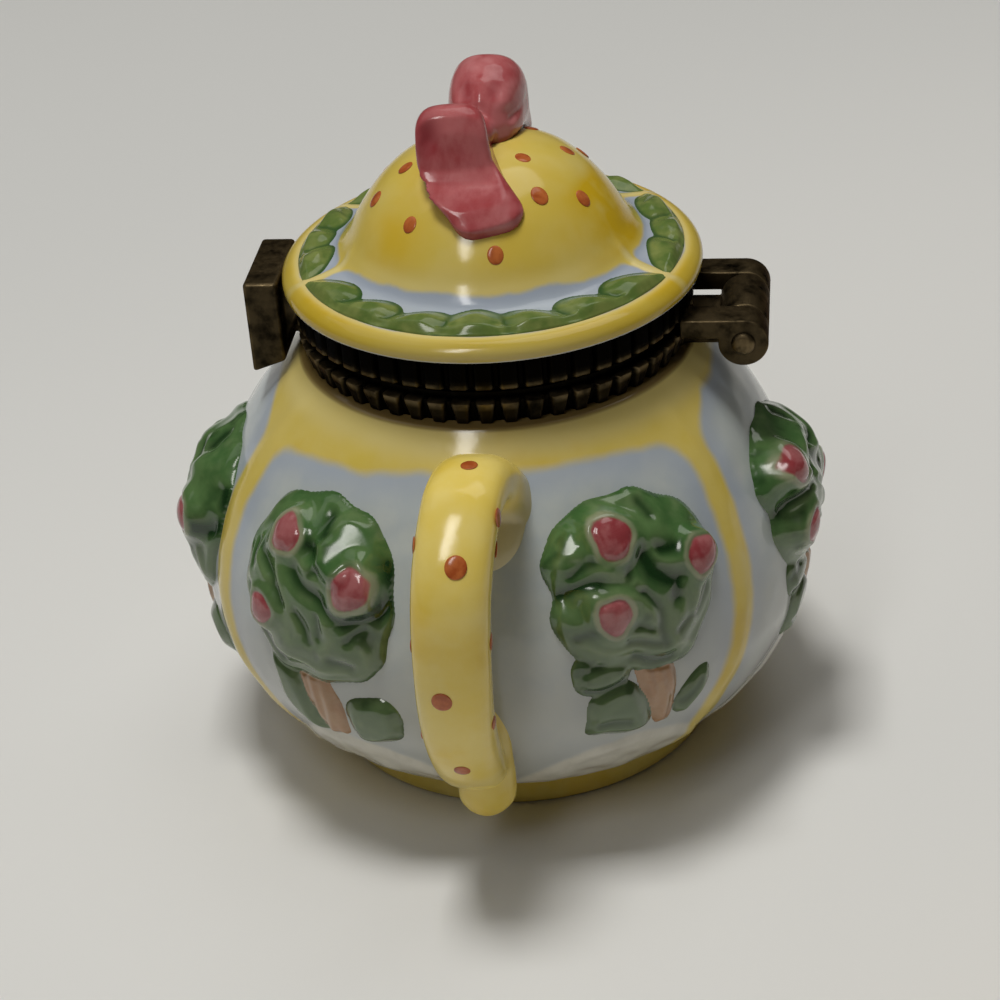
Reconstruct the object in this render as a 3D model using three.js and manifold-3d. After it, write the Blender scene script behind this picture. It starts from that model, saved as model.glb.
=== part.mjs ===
// Hinged porcelain trinket box in the form of a teapot, in millimetres, +Z up.
// The handle points to -Y, the spout to +Y, the hinge to +X and the clasp to -X.
import * as THREE from 'three';
import { mergeVertices } from 'three/addons/utils/BufferGeometryUtils.js';
import Module from 'manifold-3d';

const wasm = await Module();
wasm.setup();

// Pot: foot, belly, shoulder and neck
const FOOT_R = 15.2;
const FOOT_H = 2.6;
const FOOT_RING_W = 2.8;
const FOOT_RECESS = 0.9;
const FOOT_ROUND = 0.5;
const WAIST_IN = 0.1;
const BELLY_R = 22.6;
const BELLY_Z = 14;
const BELLY_FULLNESS = 0.8;
const COLLAR_R = 14.2;
const COLLAR_Z = 31.8;
const WALL = 2.2;
const FLOOR_T = 2.4;
const NECK_R = 12.6;
const NECK_H = 1.8;
const MOUTH_R = 10.6;
const MOUTH_LIP = 1.2;

// Metal rims: fluted rings with a ledge at the parting line
const RIM_R = 14.3;
const RIM_TAPER = 0.5;
const UPPER_RIM_H = 2.5;
const LEDGE_T = 0.45;
const LEDGE_IN = 1;
const LEDGE_LIP = 0.25;
const FLUTES = 52;
const FLUTE_DEPTH = 0.45;
const FLUTE_CREST = 0.5;
const FLUTE_SLOPE = 0.12;
const RIM_FIT = 0.15;
const PART_GAP = 0.1;
const PAD_PROUD = 0.3;
const PAD_MARGIN = 0.2;

// Lid: flange and dome
const FLANGE_R = 15;
const FLANGE_T = 1.3;
const FLANGE_RISE = 1;
const DOME_R = 10.2;
const DOME_H = 7.05;
const DOME_POWER = 3.2;
const LID_WALL = 1.7;
const EDGE_START = Math.PI / 3;

// Hinge: three knuckles on one pin
const HINGE_REACH = 3.3;
const PIN_DROP = 0.9;
const BARREL_R = 1.75;
const ARM_T = 1.4;
const ARM_W = 2.4;
const LEAF_W = 4.9;
const LEAF_T = 1.4;
const LEAF_RISE = 0.1;
const KNUCKLE_GAP = 0.12;
const PIN_R = 0.6;
const PIN_FIT = 0.06;
const PIN_HEAD_R = 0.85;
const PIN_HEAD_T = 0.3;
const PIN_HEAD_ROUND = 0.17;

// Clasp and the catch under it
const CLASP_W = 6.6;
const CLASP_T = 2.1;
const CLASP_RISE = 0.5;
const CLASP_CLEAR = 0.2;
const CLASP_FLOAT = 0.4;
const CLASP_ROUND = 0.5;
const CLASP_LUG_H = 2;
const CATCH_W = 2.4;
const CATCH_H = 0.9;
const CATCH_CLEAR = 0.15;

// Handle: a strap on two joined curves
const HANDLE_W = 5;
const HANDLE_T = 3.4;
const HANDLE_ROOT_Z = 27.4;
const HANDLE_CREST_Z = 33.5;
const HANDLE_REACH_Z = 24.5;
const HANDLE_GAP = 3.5;
const HANDLE_SPRING = 2.9;
const HANDLE_FALL = 6.5;
const TAIL_Z = 4.9;
const TAIL_GAP = 2.1;
const TAIL_RISE = 5.6;
const TAIL_TAPER = 0.3;

// Spout: a tapering S curve with a small pouring hole
const SPOUT_ROOT_Z = 13;
const SPOUT_TIP_Z = 26.8;
const SPOUT_ROOT_R = 4.2;
const SPOUT_TIP_R = 2.1;
const SPOUT_REACH = 4.9;
const SPOUT_SWELL = 5;
const SPOUT_NECK_Z = 21;
const SPOUT_HOLE_R = 1.1;
const SPOUT_HOLE_DEPTH = 4;

// Raised trees round the belly
const TREE_AZIMUTHS = {
  handle_right: 31,
  hinge: 88,
  spout_right: 149,
  spout_left: 211,
  clasp: 270,
  handle_left: 325,
};
const FOLIAGE_Z = 20.9;
const FOLIAGE_W = 14.2;
const FOLIAGE_L = 12.4;
const FOLIAGE_H = 1.9;
const FOLIAGE_LOBES = 7;
const FOLIAGE_LOBE_DEPTH = 0.05;
const BLOSSOM_R = 1.35;
const BLOSSOM_H = 0.5;
const BLOSSOM_PLACES = [[-0.16, 0.27], [0.3, 0.09], [-0.22, -0.16]];
const TREE_LIFT = 0.1;
const TRUNK_W = 2.8;
const TRUNK_H = 1;
const GROUND_Z = 8.6;
const BUSH_W = 4.6;
const BUSH_L = 3.8;
const BUSH_H = 1.1;

// Raised leaves on the lid's flange
const LEAF_LINE_FRONT = 67;
const LEAF_LINE_BACK = 125;
const LEAVES_LONG = 7;
const LEAVES_SHORT = 3;
const LEAVES_R = 12.3;
const LEAF_RUN = 2.9;
const LEAF_H = 0.75;
const LEAF_OVERLAP = 0.5;
const LEAF_LINE_W = 1;

// Ribbon bow on the dome
const BOW_TURN = -20;
const BOW_RISE = 4.7;
const BOW_SPREAD = 5.9;
const BOW_W = 4.7;
const BOW_LEAN = 2.8;
const BOW_EDGE = 0.5;
const BOW_TUCK = 1;
const KNOT_R = 1.7;
const KNOT_RISE = 1.2;
const BOW_TAIL_TURN = 8;
const BOW_TAIL_L = 4.6;
const BOW_TAIL_W = 4.8;
const BOW_TAIL_T = 0.9;

// Clearance of luted pieces to the wall that shapes them, and the edge share of domed pads
const SEAT_GAP = 0.3;
const PAD_EDGE = 0.3;

// Facet counts and the smallest lengths told apart
const ROUND_STEPS = 36;
const WALL_STEPS = 12;
const CAVITY_STEPS = 9;
const DOME_STEPS = 8;
const FLANGE_STEPS = 4;
const INSIDE_STEPS = 5;
const ARC_STEPS = 8;
const CORNER_STEPS = 2;
const PIN_SIDES = 16;
const STRAP_SIDES = 14;
const STRAP_STEPS = 20;
const STRAP_END_STEPS = 3;
const SPOUT_SIDES = 16;
const SPOUT_STEPS = 10;
const TRUNK_STEPS = 3;
const LOOP_STEPS = 5;
const KNOT_SIDES = 10;
const KNOT_RINGS = 6;
const BOW_TAIL_STEPS = 3;
const CROWN_PAD = { sides: 18, backRings: 3, domeRings: 3 };
const BUD_PAD = { sides: 6, backRings: 1, domeRings: 2 };
const LEAF_PAD = { sides: 8, backRings: 1, domeRings: 2 };
const SLOPE_STEP = 0.01;
const WELD = 1e-4;
const FULL_TURN = 2 * Math.PI;
const FULL_TURN_DEG = 360;

// Heights and places that follow from the sizes above
const NECK_Z = COLLAR_Z + NECK_H;
const PART_Z = NECK_Z + LEDGE_T;
const UPPER_LEDGE_Z = PART_Z + PART_GAP;
const UPPER_RING_Z = UPPER_LEDGE_Z + LEDGE_T;
const FLANGE_Z = UPPER_RING_Z + UPPER_RIM_H;
const EDGE_Z = FLANGE_Z + FLANGE_T;
const DOME_Z = EDGE_Z + FLANGE_RISE;
const DOME_TOP_Z = DOME_Z + DOME_H;
const PAD_X = RIM_R + PAD_PROUD;
const PIN_X = PAD_X + HINGE_REACH;
const PIN_Z = PART_Z - PIN_DROP;
const BARREL_L = LEAF_W + 2 * (KNUCKLE_GAP + ARM_W);
const WAIST_R = FOOT_R - WAIST_IN;
const CLASP_X = Math.max(FLANGE_R, PAD_X) + CLASP_CLEAR;

// Outer radius of the pot at a height between the foot and the collar
function wallRadius(z) {
  if (z >= BELLY_Z) {
    const up = (z - BELLY_Z) / (COLLAR_Z - BELLY_Z);
    return COLLAR_R + (BELLY_R - COLLAR_R) * (1 - up * up);
  }
  const down = Math.min((BELLY_Z - z) / (BELLY_Z - FOOT_H), 1);
  return WAIST_R + (BELLY_R - WAIST_R) * Math.pow(1 - down * down, BELLY_FULLNESS);
}

// Height of the shoulder at a radius outside the collar
function shoulderHeight(radius) {
  const share = 1 - (radius - COLLAR_R) / (BELLY_R - COLLAR_R);
  return BELLY_Z + (COLLAR_Z - BELLY_Z) * Math.sqrt(share);
}

// Height of the lid's upper side at a radius: the dome inside, the flange outside
function lidHeight(radius) {
  if (radius < DOME_R) {
    return DOME_Z + DOME_H * (1 - Math.pow(radius / DOME_R, DOME_POWER));
  }
  const inward = (FLANGE_R - radius) / (FLANGE_R - DOME_R);
  return EDGE_Z + FLANGE_RISE * inward * inward;
}

// Six times the volume that a welded triangle list encloses
function signedVolume(points, triangles) {
  let sum = 0;
  const corner = (i) => new THREE.Vector3().fromArray(points, 3 * i);
  for (let i = 0; i < triangles.length; i += 3) {
    const [a, b, c] = [corner(triangles[i]), corner(triangles[i + 1]), corner(triangles[i + 2])];
    sum += a.dot(b.cross(c));
  }
  return sum;
}

// A closed solid from a geometry: welded, without slivers, faces outwards
function toSolid(geometry) {
  const bare = new THREE.BufferGeometry();
  bare.setAttribute('position', geometry.getAttribute('position').clone());
  bare.setIndex(geometry.index);
  const welded = mergeVertices(bare, WELD);
  const points = welded.getAttribute('position').array;
  const index = welded.index.array;
  const triangles = [];
  for (let i = 0; i < index.length; i += 3) {
    const [a, b, c] = [index[i], index[i + 1], index[i + 2]];
    if (a !== b && b !== c && c !== a) triangles.push(a, b, c);
  }
  if (signedVolume(points, triangles) < 0) triangles.reverse();
  const vertProperties = new Float32Array(points);
  const triVerts = new Uint32Array(triangles);
  return new wasm.Manifold(new wasm.Mesh({ numProp: 3, vertProperties, triVerts }));
}

function toGeometry(solid) {
  const { vertProperties, triVerts } = solid.getMesh();
  const geometry = new THREE.BufferGeometry();
  geometry.setAttribute('position', new THREE.BufferAttribute(vertProperties, 3));
  geometry.setIndex(new THREE.BufferAttribute(triVerts, 1));
  geometry.computeVertexNormals();
  return geometry;
}

function join(solids) {
  return solids.reduce((whole, solid) => whole.add(solid));
}

// A turned geometry about +Z from [radius, height] pairs
function turned(profile, steps = ROUND_STEPS) {
  const points = profile.map(([r, z]) => new THREE.Vector2(r, z));
  return new THREE.LatheGeometry(points, steps).rotateX(Math.PI / 2);
}

// Moves every vertex of a geometry through a mapping of (x, y, z) to a Vector3
function mapped(geometry, place) {
  const position = geometry.getAttribute('position');
  for (let i = 0; i < position.count; i += 1) {
    const moved = place(position.getX(i), position.getY(i), position.getZ(i));
    position.setXYZ(i, moved.x, moved.y, moved.z);
  }
  return geometry;
}

// A block between two corners
function block(low, high) {
  const size = high.map((value, i) => value - low[i]);
  const middle = high.map((value, i) => (value + low[i]) / 2);
  return toSolid(new THREE.BoxGeometry(...size).translate(...middle));
}

// An outline in the XZ plane, extruded along Y over a width centred on a place
function slab(outline, width, centre, arcSteps = ARC_STEPS) {
  const options = { depth: width, bevelEnabled: false, curveSegments: arcSteps };
  const geometry = new THREE.ExtrudeGeometry(outline, options);
  return geometry.rotateX(Math.PI / 2).translate(0, centre + width / 2, 0);
}

// Evenly spread values from one end to the other
function spread(from, to, steps) {
  return Array.from({ length: steps + 1 }, (_, i) => from + ((to - from) * i) / steps);
}

// A point on the pot's wall: along (u), up (v) and out (h) from a seat at an azimuth from the handle
function onWall(azimuth, height) {
  return (u, v, h) => {
    const z = height + v;
    const r = wallRadius(z);
    const slope = (wallRadius(z + SLOPE_STEP) - wallRadius(z - SLOPE_STEP)) / (2 * SLOPE_STEP);
    const out = (SEAT_GAP + h) / Math.hypot(1, slope);
    const a = azimuth + u / r;
    return new THREE.Vector3((r + out) * Math.sin(a), -(r + out) * Math.cos(a), z - out * slope);
  };
}

// A point on the lid: along (u), outwards from a radius (v) and up (h) at an azimuth from the handle
function onLid(azimuth, radius) {
  return (u, v, h) => {
    const r = radius + v;
    const a = azimuth + u / r;
    return new THREE.Vector3(r * Math.sin(a), -r * Math.cos(a), lidHeight(r) + SEAT_GAP + h);
  };
}

// A flat-backed domed pad with round edges: width along x, length along y, height along z
function domedPad(width, length, height, facets) {
  const back = spread(0, 1, facets.backRings).map((r) => [r, 0]);
  const rise = (a) => PAD_EDGE + (1 - PAD_EDGE) * Math.sin(a);
  const arc = spread(0, Math.PI / 2, facets.domeRings);
  const crown = arc.map((a) => [Math.max(Math.cos(a), 0), rise(a)]);
  return turned([...back, ...crown], facets.sides).scale(width / 2, length / 2, height);
}

// Pot body: foot ring, wall, collar ledge and neck outside, cavity inside
function potBody() {
  const ringIn = FOOT_R - FOOT_RING_W;
  const foot = [[0, FOOT_RECESS], [ringIn - FOOT_RECESS, FOOT_RECESS], [ringIn, 0], [FOOT_R - FOOT_ROUND, 0],
    [FOOT_R, FOOT_ROUND], [FOOT_R, FOOT_H - FOOT_ROUND]];
  const wall = spread(FOOT_H, COLLAR_Z, WALL_STEPS).map((z) => [wallRadius(z), z]);
  const neck = [[NECK_R, COLLAR_Z], [NECK_R, NECK_Z], [MOUTH_R, NECK_Z], [MOUTH_R, COLLAR_Z - MOUTH_LIP]];
  const cavity = spread(COLLAR_Z - 2 * MOUTH_LIP, FOOT_H + FLOOR_T, CAVITY_STEPS);
  const inside = cavity.map((z) => [Math.max(wallRadius(z) - WALL, MOUTH_R), z]);
  return toSolid(turned([...foot, ...wall, ...neck, ...inside, [0, FOOT_H + FLOOR_T]]));
}

// The pot's outer form with the seat gap, which shapes the ends of luted pieces
function wallCutter() {
  const wall = spread(FOOT_H, COLLAR_Z, 2 * WALL_STEPS).map((z) => [wallRadius(z) + SEAT_GAP, z]);
  return toSolid(turned([[0, FOOT_H], ...wall, [0, COLLAR_Z]], 2 * ROUND_STEPS));
}

// Bends a geometry that runs along Y on a curve in the YZ plane, scaled across by share(t)
function bentAlong(geometry, curve, share) {
  geometry.computeBoundingBox();
  const { min, max } = geometry.boundingBox;
  return mapped(geometry, (x, y, z) => {
    const t = (y - min.y) / (max.y - min.y);
    const point = curve.getPoint(t);
    const ahead = curve.getTangent(t);
    const k = share(t);
    return new THREE.Vector3(x * k, point.y - z * k * ahead.z, point.z + z * k * ahead.y);
  });
}

// Handle: up from the shoulder, round the crest and down past the belly to a spur
function handle() {
  const reach = -(BELLY_R + HANDLE_GAP + HANDLE_T / 2);
  const root = -(wallRadius(HANDLE_ROOT_Z) - HANDLE_T / 2);
  const tail = -(wallRadius(TAIL_Z) + TAIL_GAP);
  const at = (y, z) => new THREE.Vector3(0, y, z);
  const curve = new THREE.CurvePath();
  const crest = [at(root - HANDLE_SPRING, HANDLE_CREST_Z), at(reach, HANDLE_CREST_Z)];
  const middle = at(reach, HANDLE_REACH_Z);
  const lower = [at(reach, HANDLE_REACH_Z - HANDLE_FALL), at(tail - HANDLE_SPRING, TAIL_Z + TAIL_RISE)];
  curve.add(new THREE.CubicBezierCurve3(at(root, HANDLE_ROOT_Z), ...crest, middle));
  curve.add(new THREE.CubicBezierCurve3(middle, ...lower, at(tail, TAIL_Z)));
  const strap = new THREE.CapsuleGeometry(1, curve.getLength(), STRAP_END_STEPS, STRAP_SIDES, STRAP_STEPS);
  strap.scale(HANDLE_W / 2, 1, HANDLE_T / 2);
  const narrowing = (t) => 1 - TAIL_TAPER * t * t * t;
  return toSolid(bentAlong(strap, curve, narrowing)).subtract(wallCutter());
}

// Spout: a tapering tube out of the belly with a blind pouring hole
function spout() {
  const at = (y, z) => new THREE.Vector3(0, y, z);
  const root = wallRadius(SPOUT_ROOT_Z) - SPOUT_TIP_R;
  const tip = BELLY_R + SPOUT_REACH;
  const swell = [at(root + SPOUT_SWELL, SPOUT_ROOT_Z), at(tip - SPOUT_TIP_R, SPOUT_NECK_Z)];
  const curve = new THREE.CubicBezierCurve3(at(root, SPOUT_ROOT_Z), ...swell, at(tip, SPOUT_TIP_Z));
  const length = curve.getLength();
  const tube = new THREE.CylinderGeometry(SPOUT_TIP_R, SPOUT_ROOT_R, length, SPOUT_SIDES, SPOUT_STEPS);
  const body = toSolid(bentAlong(tube, curve, () => 1));
  const ahead = curve.getTangent(1);
  const hole = new THREE.CylinderGeometry(SPOUT_HOLE_R, SPOUT_HOLE_R, 2 * SPOUT_HOLE_DEPTH, SPOUT_SIDES);
  hole.rotateX(Math.atan2(ahead.z, ahead.y)).translate(0, tip, SPOUT_TIP_Z);
  return body.subtract(wallCutter()).subtract(toSolid(hole));
}

// Tree: lobed crown with three blossoms, a trunk and a bush on each side of it
function tree(azimuth) {
  const lobed = mapped(domedPad(FOLIAGE_W, FOLIAGE_L, FOLIAGE_H, CROWN_PAD), (x, y, z) => {
    const grow = 1 + FOLIAGE_LOBE_DEPTH * Math.cos(FOLIAGE_LOBES * Math.atan2(y, x));
    return new THREE.Vector3(x * grow, y * grow, z);
  });
  const crown = toSolid(mapped(lobed, onWall(azimuth, FOLIAGE_Z)));
  const blossoms = BLOSSOM_PLACES.map(([u, v]) => {
    const bud = domedPad(2 * BLOSSOM_R, 2 * BLOSSOM_R, FOLIAGE_H / 2 + BLOSSOM_H, BUD_PAD);
    bud.translate(u * FOLIAGE_W, v * FOLIAGE_L, FOLIAGE_H / 2);
    return toSolid(mapped(bud, onWall(azimuth, FOLIAGE_Z)));
  });
  const trunkTop = FOLIAGE_Z - FOLIAGE_L / 2 + FOLIAGE_H;
  const stem = new THREE.BoxGeometry(TRUNK_W, trunkTop - GROUND_Z, TRUNK_H, 2, TRUNK_STEPS);
  stem.translate(0, 0, TRUNK_H / 2 + 2 * TREE_LIFT);
  const trunk = toSolid(mapped(stem, onWall(azimuth, (trunkTop + GROUND_Z) / 2)));
  const bushes = [-1, 1].map((way) => {
    const pad = domedPad(BUSH_W, BUSH_L, BUSH_H, LEAF_PAD);
    pad.translate(way * ((TRUNK_W + BUSH_W) / 2 - BUSH_H / 2), 0, TREE_LIFT);
    return toSolid(mapped(pad, onWall(azimuth, GROUND_Z + BUSH_L / 2)));
  });
  return join([crown, ...blossoms, trunk, ...bushes]);
}

// Fluted ring about +Z between two heights, its lower edge drawn in by a taper
function flutedRing(low, high, taper) {
  const pitch = FULL_TURN / FLUTES;
  const bore = NECK_R + RIM_FIT;
  const outline = new THREE.Shape();
  const groove = RIM_R - FLUTE_DEPTH;
  const slopeEnd = FLUTE_CREST + FLUTE_SLOPE;
  const tooth = [[0, RIM_R], [FLUTE_CREST, RIM_R], [slopeEnd, groove], [1 - FLUTE_SLOPE, groove]];
  const teeth = Array.from({ length: FLUTES }, (_, i) => tooth.map(([share, r]) => [(i + share) * pitch, r]));
  const corners = teeth.flat().map(([a, r]) => new THREE.Vector2(r * Math.cos(a), r * Math.sin(a)));
  outline.setFromPoints(corners);
  outline.holes.push(new THREE.Path().absarc(0, 0, bore, 0, FULL_TURN, true));
  const options = { depth: high - low, bevelEnabled: false, curveSegments: ROUND_STEPS / 2 };
  const ring = new THREE.ExtrudeGeometry(outline, options).translate(0, 0, low);
  const middle = (bore + groove) / 2;
  return toSolid(mapped(ring, (x, y, z) => {
    const r = Math.hypot(x, y);
    const drawn = r > middle ? (taper * (high - z)) / (high - low) : 0;
    return new THREE.Vector3((x * (r - drawn)) / r, (y * (r - drawn)) / r, z);
  }));
}

// Flat ring about +Z with a sleeve that ties it into the fluted ring
function ledgeRing(ledgeLow, sleeveEnd) {
  const bore = NECK_R + RIM_FIT;
  const lip = MOUTH_R + LEDGE_LIP;
  const edge = RIM_R - LEDGE_IN;
  const sleeve = (bore + edge) / 2;
  const ledgeHigh = ledgeLow + LEDGE_T;
  const ledge = [[lip, ledgeLow], [edge, ledgeLow], [edge, ledgeHigh], [lip, ledgeHigh], [lip, ledgeLow]];
  const low = Math.min(sleeveEnd, ledgeLow);
  const high = Math.max(sleeveEnd, ledgeHigh);
  const tie = [[bore, low], [sleeve, low], [sleeve, high], [bore, high], [bore, low]];
  return toSolid(turned(ledge)).add(toSolid(turned(tie)));
}

// A flat pad on a rim: side is +1 at the hinge and -1 at the clasp
function rimPad(side, width, low, high) {
  const inner = NECK_R + RIM_FIT + PAD_MARGIN;
  const [x0, x1] = side > 0 ? [inner, PAD_X] : [-PAD_X, -inner];
  return block([x0, -width / 2, low], [x1, width / 2, high]);
}

function lowerRim() {
  const ring = flutedRing(COLLAR_Z, NECK_Z, RIM_TAPER);
  const hingePad = rimPad(1, LEAF_W, COLLAR_Z, NECK_Z);
  const catchPad = rimPad(-1, CATCH_W + 2 * PAD_MARGIN, COLLAR_Z, NECK_Z);
  return join([ring, ledgeRing(NECK_Z, COLLAR_Z), hingePad, catchPad]);
}

function upperRim() {
  const ring = flutedRing(UPPER_RING_Z, FLANGE_Z, 0);
  const hingePad = rimPad(1, BARREL_L, UPPER_LEDGE_Z, UPPER_RING_Z + UPPER_RIM_H / 2);
  const claspPad = rimPad(-1, CLASP_W, UPPER_RING_Z, FLANGE_Z - PAD_MARGIN);
  return join([ring, ledgeRing(UPPER_LEDGE_Z, FLANGE_Z), hingePad, claspPad]);
}

// Knuckle outline: a barrel with its bore and a bar to the rim's pad between two heights
function knuckle(barLow, barHigh) {
  const angle = (z) => Math.PI - Math.asin(THREE.MathUtils.clamp((z - PIN_Z) / BARREL_R, -1, 1));
  const outline = new THREE.Shape();
  outline.moveTo(PAD_X, barLow);
  outline.absarc(PIN_X, PIN_Z, BARREL_R, angle(barLow), angle(barHigh) + FULL_TURN, false);
  outline.lineTo(PAD_X, barHigh);
  outline.closePath();
  outline.holes.push(new THREE.Path().absarc(PIN_X, PIN_Z, PIN_R + PIN_FIT, 0, FULL_TURN, true));
  return outline;
}

// Hinge arm of the lid: its bar runs level with the top of the barrel
function hingeArm(side) {
  const top = PIN_Z + BARREL_R;
  const centre = side * (LEAF_W / 2 + KNUCKLE_GAP + ARM_W / 2);
  return toSolid(slab(knuckle(top - ARM_T, top), ARM_W, centre));
}

// Centre knuckle of the pot, with its tongue on the lower rim
function hingeLeaf() {
  const top = PIN_Z + LEAF_RISE;
  return toSolid(slab(knuckle(top - LEAF_T, top), LEAF_W, 0));
}

// Pin along Y with a peened head past each arm
function hingePin() {
  const end = BARREL_L / 2 + KNUCKLE_GAP / 2;
  const tip = end + PIN_HEAD_T;
  const half = [[PIN_R, 0], [PIN_R, end], [PIN_HEAD_R, end], [PIN_HEAD_R - PIN_HEAD_ROUND, tip], [0, tip]];
  const mirrored = half.slice(1).reverse().map(([r, z]) => [r, -z]);
  const geometry = turned([...mirrored, ...half], PIN_SIDES);
  return toSolid(geometry.rotateX(Math.PI / 2).translate(PIN_X, 0, PIN_Z));
}

// Clasp: a thick plate hung on the upper rim by a lug, its lower edge over the shoulder
function clasp() {
  const inside = -CLASP_X;
  const outside = -(CLASP_X + CLASP_T);
  const top = FLANGE_Z + CLASP_RISE;
  const bottom = shoulderHeight(CLASP_X) + CLASP_FLOAT;
  const lugTop = FLANGE_Z - PAD_MARGIN;
  const outline = new THREE.Shape();
  outline.moveTo(inside, bottom);
  outline.lineTo(inside, lugTop - CLASP_LUG_H);
  outline.lineTo(-PAD_X, lugTop - CLASP_LUG_H);
  outline.lineTo(-PAD_X, lugTop);
  outline.lineTo(inside, lugTop);
  outline.lineTo(inside, top);
  outline.absarc(outside + CLASP_ROUND, top - CLASP_ROUND, CLASP_ROUND, Math.PI / 2, Math.PI, false);
  outline.absarc(outside + CLASP_ROUND, bottom + CLASP_ROUND, CLASP_ROUND, Math.PI, 1.5 * Math.PI, false);
  outline.closePath();
  return toSolid(slab(outline, CLASP_W, 0, CORNER_STEPS));
}

// Catch: a half-round stud on the lower rim's pad, just short of the clasp
function catchStud() {
  const proud = CLASP_X - CATCH_CLEAR - PAD_X;
  const middle = (COLLAR_Z + NECK_Z) / 2;
  const outline = new THREE.Shape();
  outline.absellipse(-PAD_X, middle, proud, CATCH_H / 2, Math.PI / 2, 1.5 * Math.PI, false, 0);
  outline.closePath();
  return toSolid(slab(outline, CATCH_W, 0, CORNER_STEPS));
}

// Lid: dome and flange above, spigot below, hollow inside
function lidShell() {
  const edgeR = FLANGE_T / 2;
  const dome = spread(0, DOME_R, DOME_STEPS).map((r) => [r, lidHeight(r)]);
  const flange = spread(DOME_R, FLANGE_R - edgeR, FLANGE_STEPS).slice(1).map((r) => [r, lidHeight(r)]);
  const edge = spread(EDGE_START, -Math.PI / 2, FLANGE_STEPS).map((a) => {
    return [FLANGE_R - edgeR + edgeR * Math.cos(a), FLANGE_Z + edgeR + edgeR * Math.sin(a)];
  });
  const spigot = [[NECK_R, FLANGE_Z], [NECK_R, UPPER_RING_Z], [MOUTH_R, UPPER_RING_Z], [MOUTH_R, FLANGE_Z]];
  const inR = DOME_R - LID_WALL;
  const inHeight = (r) => DOME_Z + (DOME_H - LID_WALL) * (1 - Math.pow(r / inR, DOME_POWER));
  const inside = spread(inR, 0, INSIDE_STEPS).map((r) => [r, inHeight(r)]);
  return toSolid(turned([...dome, ...flange, ...edge, ...spigot, ...inside]));
}

// A run of overlapping leaves between two painted lines on the flange
function leafRun(fromDeg, toDeg, count) {
  const margin = (LEAF_LINE_W + LEAF_OVERLAP) / 2 / LEAVES_R;
  const start = THREE.MathUtils.degToRad(fromDeg) + margin;
  const end = THREE.MathUtils.degToRad(toDeg) - margin;
  const pitch = (end - start) / count;
  const width = pitch * LEAVES_R + LEAF_OVERLAP;
  const leaves = Array.from({ length: count }, (_, i) => {
    const pad = domedPad(width, LEAF_RUN, LEAF_H, LEAF_PAD);
    return toSolid(mapped(pad, onLid(start + (i + 0.5) * pitch, LEAVES_R)));
  });
  return join(leaves);
}

// One loop of the bow: a puffed ribbon that leans out from the knot and comes down on the dome
function bowLoop(turn) {
  const outline = new THREE.Shape();
  outline.moveTo(0, -BOW_EDGE);
  outline.bezierCurveTo(BOW_LEAN / 2, BOW_RISE / 2, BOW_LEAN / 2, BOW_RISE, BOW_LEAN, BOW_RISE);
  outline.bezierCurveTo(BOW_SPREAD, BOW_RISE, BOW_SPREAD - BOW_TUCK, BOW_TUCK, BOW_SPREAD, -BOW_LEAN);
  outline.closePath();
  const options = {
    depth: BOW_W - 2 * BOW_EDGE,
    bevelThickness: BOW_EDGE,
    bevelSize: BOW_EDGE,
    bevelOffset: -BOW_EDGE,
    bevelSegments: 1,
    curveSegments: LOOP_STEPS,
  };
  const geometry = new THREE.ExtrudeGeometry(outline, options);
  geometry.rotateX(Math.PI / 2).translate(0, options.depth / 2, DOME_TOP_Z);
  return toSolid(geometry.rotateZ(turn - Math.PI / 2));
}

// Bow finial: two loops, a knot and two tails, shaped underneath by the dome
function bowFinial() {
  const turn = THREE.MathUtils.degToRad(BOW_TURN);
  const tailTurn = THREE.MathUtils.degToRad(BOW_TAIL_TURN);
  const knot = new THREE.SphereGeometry(KNOT_R, KNOT_SIDES, KNOT_RINGS).rotateX(Math.PI / 2);
  knot.translate(0, 0, DOME_TOP_Z + KNOT_RISE);
  const tails = [0, Math.PI].map((about) => {
    const strip = new THREE.BoxGeometry(BOW_TAIL_W, BOW_TAIL_L, BOW_TAIL_T, BOW_TAIL_STEPS, BOW_TAIL_STEPS);
    strip.translate(0, 0, BOW_TAIL_T / 2);
    return toSolid(mapped(strip, onLid(tailTurn + about, BOW_SPREAD)));
  });
  const domed = spread(0, DOME_R, DOME_STEPS).map((r) => [r, lidHeight(r) + SEAT_GAP]);
  const cutter = toSolid(turned([...domed, [DOME_R, FLANGE_Z], [0, FLANGE_Z]]));
  const loops = [bowLoop(turn), bowLoop(turn + Math.PI)];
  return join([...loops, toSolid(knot)]).subtract(cutter).add(join(tails));
}

// Colours and finishes
const GLAZE = { roughness: 0.15, metalness: 0 };
const METAL = { roughness: 0.45, metalness: 1 };
const finishes = {
  sky: { color: 0xb4bfd6, ...GLAZE },
  yellow: { color: 0xe0c766, ...GLAZE },
  foliage: { color: 0x3d6a45, ...GLAZE },
  leaves: { color: 0x4f7a48, ...GLAZE },
  ribbon: { color: 0xc46a78, ...GLAZE },
  bronze: { color: 0x3a3328, ...METAL },
  brass: { color: 0x8a7650, ...METAL },
};

function piece(name, solid, finish) {
  const mesh = new THREE.Mesh(toGeometry(solid), new THREE.MeshStandardMaterial(finishes[finish]));
  mesh.name = name;
  return mesh;
}

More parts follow.
